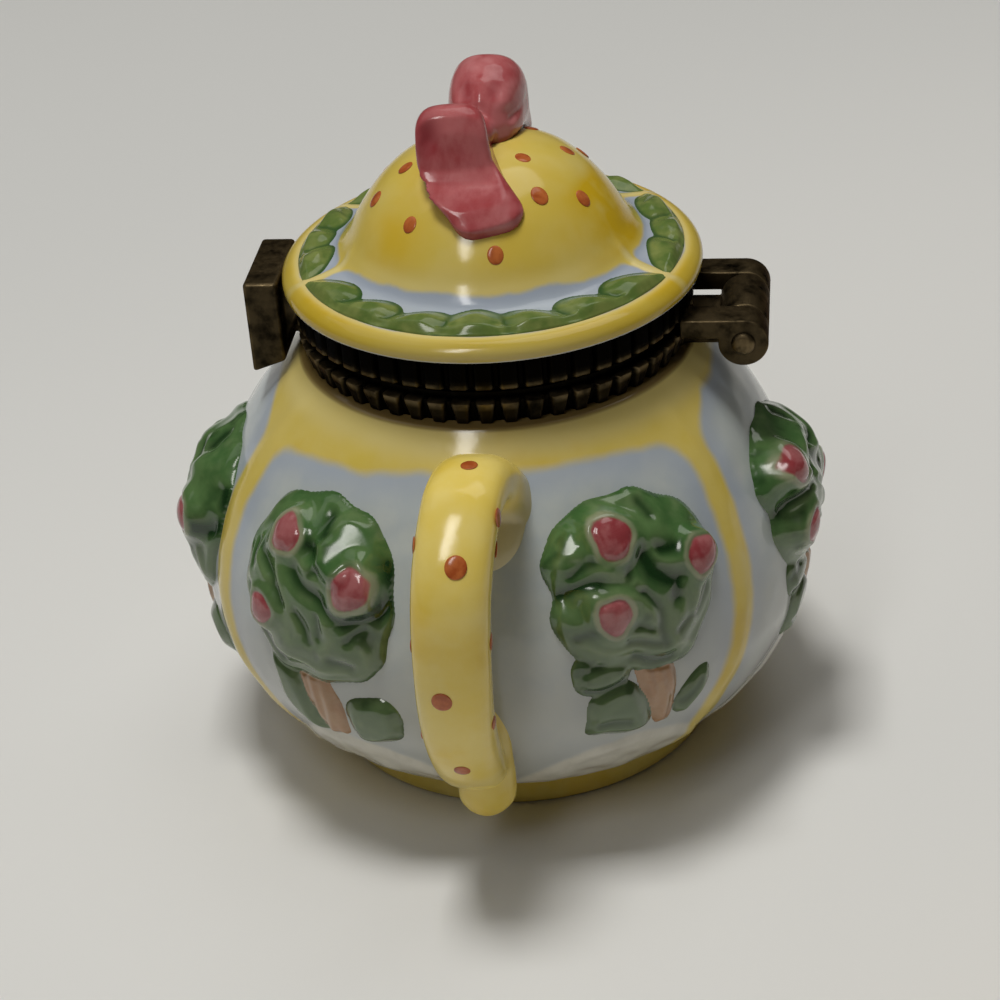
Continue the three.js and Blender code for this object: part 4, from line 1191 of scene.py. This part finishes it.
def leaf_relief(width, count):
    half = width / 2
    pitch = 2 * (half - 0.5) / count
    rib_height = 0.05 if count < 5 else 0.02

    def relief(u, v):
        from_edge = LEAF_OUTER_R - LEAF_MIDDLE_R - v
        share = from_edge / LEAF_LENGTH
        band = np.minimum((0.42 - share) * 2, np.minimum(from_edge, half - 0.6 - np.abs(u)))
        out = np.where(band > 0, 0.55 * LEAF_HEIGHT * step(0, 0.5, band), band)
        best = np.full_like(u, -BARE)
        second = best.copy()
        for i in range(count):
            middle = -half + 0.5 + (i + 0.5) * pitch
            way = -np.clip(middle / pitch, -1, 1)
            side = (u - middle - way * 0.42 * pitch * (share - 0.35)) / (0.6 * pitch)
            length = 1 + 0.07 * math.sin(2.4 * i + count)
            inside = 1 - np.hypot(side, np.maximum(share / length - 0.36, 0) / 0.64)
            ribs = rib_height * np.cos(side * 8.0) * step(0.1, 0.4, inside)
            full = LEAF_HEIGHT * step(-0.08, 0.8, inside) * (1 + 0.25 * way * side) + ribs
            tongue = np.where(inside > 0, full, inside)
            out = -soft_min(-out, -tongue, 0.16)
            second = np.maximum(second, np.minimum(best, inside))
            best = np.maximum(best, inside)
        valley = step(0.3, 0.0, best - second) * step(0.1, 0.3, share)
        outline = step(0.24, 0.04, np.maximum(best, band))
        out = np.where(from_edge > 0, np.where(out > 0, out * step(-0.1, 0.6, from_edge), out), -1)
        return out, {"crease": np.maximum(0.75 * valley, 0.8 * outline)}

    return relief


print("leaves:", {node: count for node, (_, _, count) in LEAF_RUNS.items()})

# %% Leaf border: glaze and runs
leaf_glaze, tree, shader, place = new_material("leaf_glaze")
green = brushed(tree, place, 420.0, (0.17, 0.215, 0.058, 1), (0.095, 0.155, 0.035, 1))
light = cloudy(tree, place, 620.0, 0.5, 0.72, 0.6, 2.0)
green = mix_colour(tree, light, green, (0.24, 0.28, 0.085, 1))
green = mix_colour(tree, painted(tree, "crease"), green, (0.022, 0.07, 0.02, 1))
glazed(tree, shader, place, green)

for node, (start, end, count) in LEAF_RUNS.items():
    width = math.radians(end - start) * LEAF_MIDDLE_R
    middle = math.radians((start + end) / 2)

    def surface(u, v, out, middle=middle):
        return on_lid(middle + u / LEAF_MIDDLE_R, LEAF_MIDDLE_R + v, out)

    box = ((-width / 2, -2.1), (width / 2, LEAF_OUTER_R - LEAF_MIDDLE_R + 0.05))
    bm = laid_relief(box, LEAF_PITCH, leaf_relief(width, count), surface)
    finish_piece(node + "_relief", bm, leaf_glaze, "lid", [node])

# %% [markdown]
# ## Painted dots
# Rust dots of thick enamel sit on the dome, the handle and the spout. They could be drawn in the
# material, but on the real piece they stand a little proud and catch the light, so each is a low lens,
# turned to the surface under it.

# %% Painted dots: one lens
rust, tree, shader, place = new_material("rust_enamel")
glazed(tree, shader, place, brushed(tree, place, 900.0, (0.52, 0.15, 0.04, 1), (0.36, 0.075, 0.018, 1)))
DOT_SIDES = 20
DOT_RINGS = 12
DOT_LIFT = 0.09


def add_dot(bm, spot, normal, along, half_along, half_across):
    made = bmesh.ops.create_uvsphere(bm, u_segments=DOT_SIDES, v_segments=DOT_RINGS, radius=1)
    across = normal.cross(along).normalized()
    along = across.cross(normal)
    frame_axes = Matrix((along * half_along, across * half_across, normal * DOT_LIFT)).transposed().to_4x4()
    frame_axes.translation = spot
    bmesh.ops.transform(bm, matrix=Matrix.Scale(MM, 4) @ frame_axes, verts=made["verts"])


print("a dot stands out by", DOT_LIFT, "mm")

# %% Painted dots: dome
DOME_DOTS = [
    (-70.6, 5.6, 0.6), (-70.3, 7.9, 0.66), (-34, 8.0, 0.62), (53.6, 3.7, 0.6), (40.1, 6.7, 0.72),
    (65.2, 7.8, 0.66), (9.9, 8.95, 0.66), (99, 5.8, 0.6), (118, 7.4, 0.6), (140, 4.6, 0.6),
    (158, 8.3, 0.62), (-160, 7.7, 0.64), (-132, 5.6, 0.6), (-112, 8.2, 0.64), (-178, 5.4, 0.58),
]
bm = bmesh.new()
for azimuth, radius, size in DOME_DOTS:
    turn = math.radians(azimuth)
    spot = Vector(on_lid(turn, np.array(radius), 0.0))
    higher = Vector(on_lid(turn, np.array(radius - 0.05), 0.0))
    uphill = (higher - spot).normalized()
    sideways = Vector((math.cos(turn), math.sin(turn), 0))
    add_dot(bm, spot, sideways.cross(uphill).normalized(), sideways, size * 0.85, size)
finish_piece("dome_dots", bm, rust, "lid", [])

# %% Painted dots: handle and spout
HANDLE_DOTS = [
    (0.24, 88, 0.62), (0.41, 84, 0.8), (0.645, 98, 0.76), (0.84, 90, 0.62), (0.315, 10, 0.66),
    (0.37, -14, 0.6), (0.55, -2, 0.62), (0.37, 168, 0.6), (0.735, 8, 0.5), (0.56, 186, 0.6),
    (0.78, 180, 0.55), (0.3, 200, 0.6),
]
SPOUT_DOTS = [
    (0.3, 52, 0.62), (0.42, 112, 0.66), (0.62, 70, 0.6), (0.8, 104, 0.52), (0.5, 8, 0.6), (0.74, 24, 0.52),
    (0.36, 172, 0.62), (0.66, 165, 0.56), (0.85, 200, 0.48), (0.6, -60, 0.54), (0.8, -100, 0.5),
]


def tube_dots(dots, path, ahead, wide, thick, power):
    bm = bmesh.new()
    for share, around, size in dots:
        row = int(share * (len(path) - 1))
        along = Vector(ahead[row])
        over = Vector((0, along.z, -along.y))
        turn = math.radians(around)
        side, rise = oval(turn, power)
        spot = Vector(path[row]) + Vector((side * wide[row], 0, 0)) + over * rise * thick[row]
        side, rise = oval(turn, power / (power - 1))
        normal = Vector((side / wide[row], 0, 0)) + over * rise / thick[row]
        add_dot(bm, spot, normal.normalized(), along, size, size * 0.92)
    return bm


bm = tube_dots(HANDLE_DOTS, handle_path, handle_ahead, handle_wide, handle_thick, STRAP_POWER)
finish_piece("handle_dots", bm, rust, "pot", [])
bm = tube_dots(SPOUT_DOTS, spout_path[:SPOUT_ROWS], spout_ahead, taper, taper, 2.0)
finish_piece("spout_dots", bm, rust, "pot", [])

# %% [markdown]
# ## Ribbon bow
# The finial is a bow of thick porcelain ribbon: one loop falls towards the handle and ends in a tail on
# the dome, the other stands up behind the knot with creases. A ribbon could be bent from a strip, but the
# real loops are solid, so each is a pillow round a side outline. The pillows are fused by a voxel remesh
# and smoothed, as slip and glaze round off the real one, and the creases are pressed in last.

# %% Ribbon bow: pillows
PILLOW_ROWS, PILLOW_COLUMNS = 96, 40
SPREAD_START = 5.2


def pillow(bm, outline, half_width, shift, turn, rounding, skew=0.0):
    """Adds a closed pillow: an upright outline, turned about the axis and widened to both sides."""
    scratch = bmesh.new()
    bmesh.ops.create_grid(scratch, x_segments=PILLOW_ROWS, y_segments=PILLOW_COLUMNS, size=1)
    flat = vertex_array(scratch)
    closed = np.array(outline + outline[:1])
    lengths = np.concatenate([[0], np.cumsum(np.hypot(*np.diff(closed, axis=0).T))])
    share = (flat[:, 0] + 1) / 2 * lengths[-1]
    reach = np.interp(share, lengths, closed[:, 0])
    rise = np.interp(share, lengths, closed[:, 1])
    middle = np.mean(np.array(outline), axis=0)
    cross = flat[:, 1]
    shrink = (1 - np.abs(cross) ** rounding) ** (1 / rounding)
    reach = middle[0] + (reach - middle[0]) * shrink
    rise = middle[1] + (rise - middle[1]) * shrink
    side = cross * half_width(reach, rise)
    slid = reach - skew * side * step(SPREAD_START, 8.0, reach)
    drop = lid_height(np.clip(slid, 0, 14)) - lid_height(np.clip(reach, 0, 14))
    rise = rise + np.where(reach > SPREAD_START, drop, 0)
    reach = slid
    side = side + shift(reach, rise)
    x = reach * math.sin(turn) + side * math.cos(turn)
    y = -reach * math.cos(turn) + side * math.sin(turn)
    move_vertices(scratch, np.stack([x, y, rise], -1) * MM)
    weld(scratch)
    bmesh.ops.recalc_face_normals(scratch, faces=scratch.faces)
    absorb(bm, scratch)


print("a pillow has", PILLOW_ROWS, "rows")

# %% Ribbon bow: loops and knot
FRONT_LOOP = [
    (-0.2, 46.4), (0.5, 48.3), (1.6, 49.8), (2.6, 50.5), (3.4, 50.6), (4.1, 50.2), (4.6, 49.1),
    (4.9, 47.7), (5.2, 46.7), (5.8, 46.0), (6.7, 45.5), (7.7, 44.8), (8.4, 43.8), (8.2, 42.9), (6.5, 44.0),
    (4.0, 45.3), (2, 45.8),
]
BACK_LOOP = [
    (-0.5, 46.3), (-0.3, 47.7), (0.5, 49.2), (1.7, 50.3), (3.2, 50.95), (4.6, 51.05), (5.6, 50.7),
    (6.2, 49.9), (6.4, 48.6), (6.4, 47.0), (6.6, 45.6), (7.2, 44.9), (8.2, 43.9), (8.5, 43.1), (8.0, 42.6),
    (6.2, 44.0), (4.0, 45.3), (2, 45.8),
]
FRONT_SLIDE = [(43, 0.5), (44.4, 0.1), (45.4, -1.0), (46.4, -1.75), (48, -2.05), (50, -2.0)]
FRONT_TURN, BACK_TURN = math.radians(6), math.radians(178)
KNOT_SPOT, KNOT_HALVES = Vector((-0.5, -0.3, 47.3)), Vector((1.5, 1.3, 1.2))


def front_width(reach, rise):
    return 2.55 + 0.3 * step(47.2, 45.6, rise)


def front_shift(reach, rise):
    return np.interp(rise, *zip(*FRONT_SLIDE))


bm = bmesh.new()
pillow(bm, FRONT_LOOP, front_width, front_shift, FRONT_TURN, 3.8, 0.12)
pillow(bm, BACK_LOOP, lambda reach, rise: 2.8, lambda reach, rise: 0.15, BACK_TURN, 2.7)
knot = bmesh.ops.create_uvsphere(bm, u_segments=40, v_segments=24, radius=1)
knot_axes = Matrix.Translation(KNOT_SPOT * MM) @ Matrix.Diagonal((*(KNOT_HALVES * MM), 1))
bmesh.ops.transform(bm, matrix=knot_axes, verts=knot["verts"])
bm = fused(bm, 0.12, 12)
print("bow fused to", len(bm.verts), "vertices")

# %% Ribbon bow: creases and painted shade
FOLD_HEART_Z = 47.6
spots = vertex_array(bm) / MM
bm.normal_update()
normals = np.array([vert.normal for vert in bm.verts])
angle = np.arctan2(spots[:, 0], spots[:, 2] - FOLD_HEART_Z)
away = np.hypot(spots[:, 0], spots[:, 2] - FOLD_HEART_Z)
facing = np.clip(-normals[:, 1], 0, 1) * step(0.2, 1.0, spots[:, 1]) * step(4.8, 2.0, away)
groove = 0.16 * np.cos(angle * 7 + 0.5) * facing
front_side = step(-1.5, -3.0, spots[:, 1])
dent = -0.3 * np.exp(-(((spots[:, 0] + 3.0) / 0.7) ** 2 + ((spots[:, 2] - 48.9) / 1.0) ** 2)) * front_side
fold = spots[:, 2] - 47.3 - 0.33 * (spots[:, 0] - 0.5)
tuck = np.exp(-((fold / 0.28) ** 2)) * step(0.0, 0.8, spots[:, 0]) * facing
move_vertices(bm, (spots + normals * (groove + dent - 0.3 * tuck)[:, None]) * MM)
# The recess at the top of the front loop, the grooves, the fold and the foot where it meets the dome are
# painted dark red: painted shade.
painted_bow_shade = np.exp(-(((spots[:, 0] + 3.2) / 1.0) ** 2 + ((spots[:, 2] - 49.0) / 1.6) ** 2)) * front_side
painted_bow_shade = np.maximum(painted_bow_shade, np.maximum(0.6 * step(0.05, -0.15, groove), 0.8 * tuck))
painted_bow_shade = np.maximum(painted_bow_shade, step(0.55, 0.1, spots[:, 2] - lid_height(np.hypot(spots[:, 0], spots[:, 1]))))
paint_vertices(bm, "painted_bow_shade", painted_bow_shade)
print("deepest groove", round(float(-groove.min()), 2), "mm")

# %% Ribbon bow: glaze
ribbon, tree, shader, place = new_material("ribbon_glaze")
stretch = add_node(tree, "Mapping", Vector=place)
stretch.inputs["Scale"].default_value = (1.0, 0.8, 0.6)
pink = brushed(tree, stretch.outputs["Vector"], 420.0, (0.50, 0.15, 0.155, 1), (0.37, 0.058, 0.064, 1))
pale = cloudy(tree, stretch.outputs["Vector"], 300.0, 0.5, 0.72, 0.5)
pink = mix_colour(tree, pale, pink, (0.60, 0.25, 0.255, 1))
# Painted shade in the bow's hollows and where it meets the dome.
pink = mix_colour(tree, times(tree, painted(tree, "painted_bow_shade"), 0.8), pink, (0.24, 0.02, 0.03, 1))
glazed(tree, shader, place, pink)
finish_piece("ribbon_bow", bm, ribbon, "lid", ["bow_finial"])

# %% [markdown]
# ## Darkened brass
# The rims, hinge and clasp are cast brass, darkened chemically and worn bright where hands touch
# them. The metal is nearly black in the grooves and golden on the crests, so a value left on each
# vertex says how worn it is, and noise breaks it up. The same value holds painted light: faces of
# hinge and clasp that look up are painted lighter, and below zero it paints shade nearly black.

# %% Darkened brass
metal_wear_and_light, given, result = new_group(
    "metal_wear_and_painted_light",
    [("Vector", "Vector", None), ("Rubbed", "Float", 0.0)],
    [("Color", "Color"), ("Roughness", "Float"), ("Normal", "Vector")],
)
patches = noise_value(metal_wear_and_light, given["Vector"], 700.0, 4.0)
scratches = noise_value(metal_wear_and_light, given["Vector"], 3200.0, 3.0)
rub_and_light = times(metal_wear_and_light, given["Rubbed"], fade(metal_wear_and_light, patches, 0.25, 0.6), True)
scratched = fade(metal_wear_and_light, scratches, 0.35, 0.7)
dark = mix_colour(metal_wear_and_light, scratched, (0.0045, 0.0037, 0.0023, 1), (0.010, 0.0081, 0.005, 1))
metal = mix_colour(metal_wear_and_light, rub_and_light, dark, (0.15, 0.112, 0.06, 1))
# Below zero the value paints the metal nearly black: patina in the grooves, and painted shade on the upper
# rim.
patina_and_shade = fade(metal_wear_and_light, given["Rubbed"], 0.0, -1.0)
metal_wear_and_light.links.new(mix_colour(metal_wear_and_light, patina_and_shade, metal, (0.0012, 0.001, 0.0008, 1)), result["Color"])
metal_wear_and_light.links.new(fade(metal_wear_and_light, scratches, 0.25, 0.75, 0.34, 0.58), result["Roughness"])
dimple = add_node(metal_wear_and_light, "Bump", Height=patches, Strength=0.3, Distance=0.00008)
metal_wear_and_light.links.new(dimple.outputs["Normal"], result["Normal"])


def brass_with_wear_and_light(name, metallic):
    made, tree, shader, place = new_material(name)
    worn = add_node(tree, "Group", {"node_tree": metal_wear_and_light}, Vector=place, Rubbed=painted(tree, "rubbed")).outputs
    connect(tree, shader, Base_Color=worn["Color"], Roughness=worn["Roughness"], Normal=worn["Normal"])
    set_values(shader, Metallic=metallic)
    return made, shader


bronze, shader = brass_with_wear_and_light("dark_bronze", 0.9)
set_values(shader, Specular_IOR_Level=0.2, Specular_Tint=(0.35, 0.3, 0.22, 1))
print("metal ready")

# %% [markdown]
# ## Fluted rims
# Each rim is a ring with a ledge at the parting line and a band of flutes. A grid wrapped round the
# axis follows the ring's section, and its outer rows are pressed in at every flute. The lower band is
# drawn in towards its foot. The upper band lies in the flange's shade, so it is painted nearly black
# as painted shade, apart from its worn edge.

# %% Fluted rims
FLUTES = 52
FLUTE_STEPS = 14
FLUTE_DEPTH = 0.45
LOWER_SECTION = [
    (12.75, 31.8), (13.3, 31.8), (13.72, 31.82), (13.82, 31.95), (13.95, 32.4), (14.1, 32.95),
    (14.24, 33.4), (14.22, 33.55), (14.1, 33.6), (13.3, 33.6), (13.28, 34.0), (13.2, 34.05), (10.9, 34.05),
    (10.85, 33.65), (12.75, 33.6),
]
UPPER_SECTION = [
    (12.75, 34.6), (10.85, 34.55), (10.9, 34.15), (13.2, 34.15), (13.28, 34.2), (13.3, 34.6), (14.1, 34.6),
    (14.24, 34.66), (14.3, 34.8), (14.3, 35.4), (14.3, 36.2), (14.28, 36.9), (14.2, 37.06), (13.6, 37.1),
    (12.75, 37.1),
]


def fluted(section, body, name, node, taper):
    closed = np.array(section + section[:1])
    bm, angle, row = wrapped_grid(FLUTES * FLUTE_STEPS, len(section))
    radius, height = closed[row, 0], closed[row, 1]
    low, high = height.min(), height.max()
    share = (angle / math.tau * FLUTES) % 1
    tip = np.clip((height - low) / (high - low), 0, 1)
    crest = 0.66 + taper * (0.08 - 0.3 * (1 - tip))
    groove = step(crest / 2 - 0.02, crest / 2 + 0.11, np.abs(share - 0.5))
    outer = step(13.35, 13.7, radius)
    radius = radius - FLUTE_DEPTH * groove * outer
    move_vertices(bm, round_axis(angle, radius, height) * MM)
    edges = np.exp(-(((np.abs(share - 0.5) - crest / 2) / 0.07) ** 2))
    rim_edge = np.maximum(step(0.35, 0.05, np.abs(height - 34.7)), step(0.35, 0.05, np.abs(height - 33.5)))
    worn = outer * (1 - groove) * (0.1 + 0.25 * edges + 0.75 * rim_edge)
    # Grooves are darker with patina; apart from its worn edge, the upper band is painted nearly black:
    # painted shade under the flange.
    paint_vertices(bm, "rubbed", worn - (1 - taper) * (1 - rim_edge) - 0.5 * groove)
    finish_piece(name, bm, bronze, body, [node], sharp=True)


fluted(LOWER_SECTION, "pot", "fluted_lower_rim", "lower_rim", 1.0)
fluted(UPPER_SECTION, "lid", "fluted_upper_rim", "upper_rim", 0.0)

# %% [markdown]
# ## Hinge
# Two outer knuckles belong to the lid and one to the pot, on a brass pin with peened ends. A knuckle is
# an outline of barrel and bar, pulled across and bevelled: one vertex is spun round the pin's axis for
# the barrel, two more make the bar, and the face is extruded.

# %% Hinge: knuckles
PIN_X, PIN_Z, BARREL_R = 17.9, 33.15, 1.75
BAR_END = 13.5
BARREL_STEPS = 56


def mark_wear_and_light(bm, amount):
    layer = bm.verts.layers.float.get("rubbed") or bm.verts.layers.float.new("rubbed")
    bm.normal_update()
    for vert in bm.verts:
        shared = [edge for edge in vert.link_edges if edge.is_manifold]
        bend = max((edge.calc_face_angle_signed(0) for edge in shared), default=0)
        # Bent edges are worn bright; faces that look up are painted lighter: painted light from above.
        vert[layer] = amount * min(max(bend / 0.5, 0), 1) + 0.02 + 0.42 * max(vert.normal.z, 0)


def bevel_sharp(bm, size, segments):
    edges = [edge for edge in bm.edges if edge.calc_face_angle(0) > SHARP]
    bmesh.ops.bevel(bm, geom=edges, offset=size * MM, offset_type="OFFSET", segments=segments, profile=0.5,
                    affect="EDGES", material=-1, clamp_overlap=True)


def knuckle(name, node, body, bar_low, bar_high, y_low, y_high):
    bm = bmesh.new()
    start = math.pi - math.asin(max(min((bar_low - PIN_Z) / BARREL_R, 1), -1))
    end = math.pi - math.asin(max(min((bar_high - PIN_Z) / BARREL_R, 1), -1)) + math.tau
    y = y_low * MM
    pin = Vector((PIN_X * MM, y, PIN_Z * MM))
    start_x, start_z = PIN_X + BARREL_R * math.cos(start), PIN_Z + BARREL_R * math.sin(start)
    first = bm.verts.new((start_x * MM, y, start_z * MM))
    bmesh.ops.spin(bm, geom=[first], cent=pin, axis=(0, -1, 0), angle=end - start, steps=BARREL_STEPS)
    bm.verts.ensure_lookup_table()
    last = bm.verts[-1]
    top = bm.verts.new((BAR_END * MM, y, bar_high * MM))
    low = bm.verts.new((BAR_END * MM, y, bar_low * MM))
    for pair in ((last, top), (top, low), (low, first)):
        bm.edges.new(pair)
    bmesh.ops.contextual_create(bm, geom=bm.edges[:])
    bmesh.ops.translate(bm, verts=extruded(bm, bm.faces[:]), vec=(0, (y_high - y_low) * MM, 0))
    bmesh.ops.recalc_face_normals(bm, faces=bm.faces)
    bevel_sharp(bm, 0.14, 3)
    mark_wear_and_light(bm, 0.8)
    return finish_piece(name, bm, bronze, body, [node], sharp=True)


knuckle("front_knuckle", "hinge_arm_front", "lid", 33.5, 34.9, -4.97, -2.57)
knuckle("back_knuckle", "hinge_arm_back", "lid", 33.5, 34.9, 2.57, 4.97)
knuckle("centre_knuckle", "hinge_leaf", "pot", 31.85, 33.25, -2.45, 2.45)

# %% Hinge: pin
brass, _ = brass_with_wear_and_light("peened_brass", 1.0)
PIN_PROFILE = [(0, 5.33), (0.45, 5.32), (0.7, 5.24), (0.83, 5.1), (0.85, 5.03), (0.6, 5.0), (0.6, 0)]
bm = lathe(PIN_PROFILE + [(r, -z) for r, z in PIN_PROFILE[-2::-1]], 32)
spots = vertex_array(bm) / MM
hammered = wobble(spots, 2.7) * step(4.9, 5.1, np.abs(spots[:, 2])) * 0.07
spots[:, 2] -= np.sign(spots[:, 2]) * np.maximum(hammered, 0)
places = np.stack([PIN_X + spots[:, 0], spots[:, 2], PIN_Z + spots[:, 1]], -1)
move_vertices(bm, places * MM)
paint_vertices(bm, "rubbed", 0.7 + 0.6 * step(5.1, 5.3, np.abs(spots[:, 2])))
finish_piece("peened_pin", bm, brass, "pot", ["hinge_pin"], sharp=True)

# %% [markdown]
# ## Clasp and catch
# The clasp is a thick plate hung on the upper rim by a lug, and it closes over a small stud on the
# lower rim. A cube is scaled to the plate, its inner face is inset and extruded to the rim, and its
# edges are bevelled and worn bright, while faces that look up are painted lighter as painted light.

# %% Clasp and catch
def plate(low, high):
    bm = bmesh.new()
    bmesh.ops.create_cube(bm, size=1)
    size = Vector(high) - Vector(low)
    middle = (Vector(high) + Vector(low)) / 2
    matrix = Matrix.Translation(middle * MM) @ Matrix.Diagonal((*(size * MM), 1))
    bmesh.ops.transform(bm, matrix=matrix, verts=bm.verts)
    return bm


LUG_X, LUG_Z, LUG_INSET = -13.8, 34.8, 1.2
CLASP_SLANT = 0.9
bm = plate((-17.4, -4.0, 30.5), (-14.9, 3.6, 37.6))
for vert in bm.verts:
    if vert.co.z < 33 * MM and vert.co.x > -16 * MM:
        vert.co.z += CLASP_SLANT * MM
inner_face = max(bm.faces, key=lambda face: face.normal.x)
bmesh.ops.inset_region(bm, faces=[inner_face], thickness=LUG_INSET * MM)
moved = extruded(bm, [inner_face])
if inner_face.is_valid:
    bmesh.ops.delete(bm, geom=[inner_face], context="FACES_ONLY")
for vert in moved:
    vert.co.x = LUG_X * MM
    vert.co.z = max(vert.co.z, LUG_Z * MM)
bmesh.ops.recalc_face_normals(bm, faces=bm.faces)
bevel_sharp(bm, 0.3, 4)
mark_wear_and_light(bm, 0.85)
finish_piece("clasp_plate", bm, bronze, "lid", ["clasp"], sharp=True)

bm = plate((-15.05, -1.2, 32.25), (-13.6, 1.2, 33.15))
bevel_sharp(bm, 0.35, 4)
mark_wear_and_light(bm, 0.5)
finish_piece("catch_stud", bm, bronze, "pot", ["catch"], sharp=True)
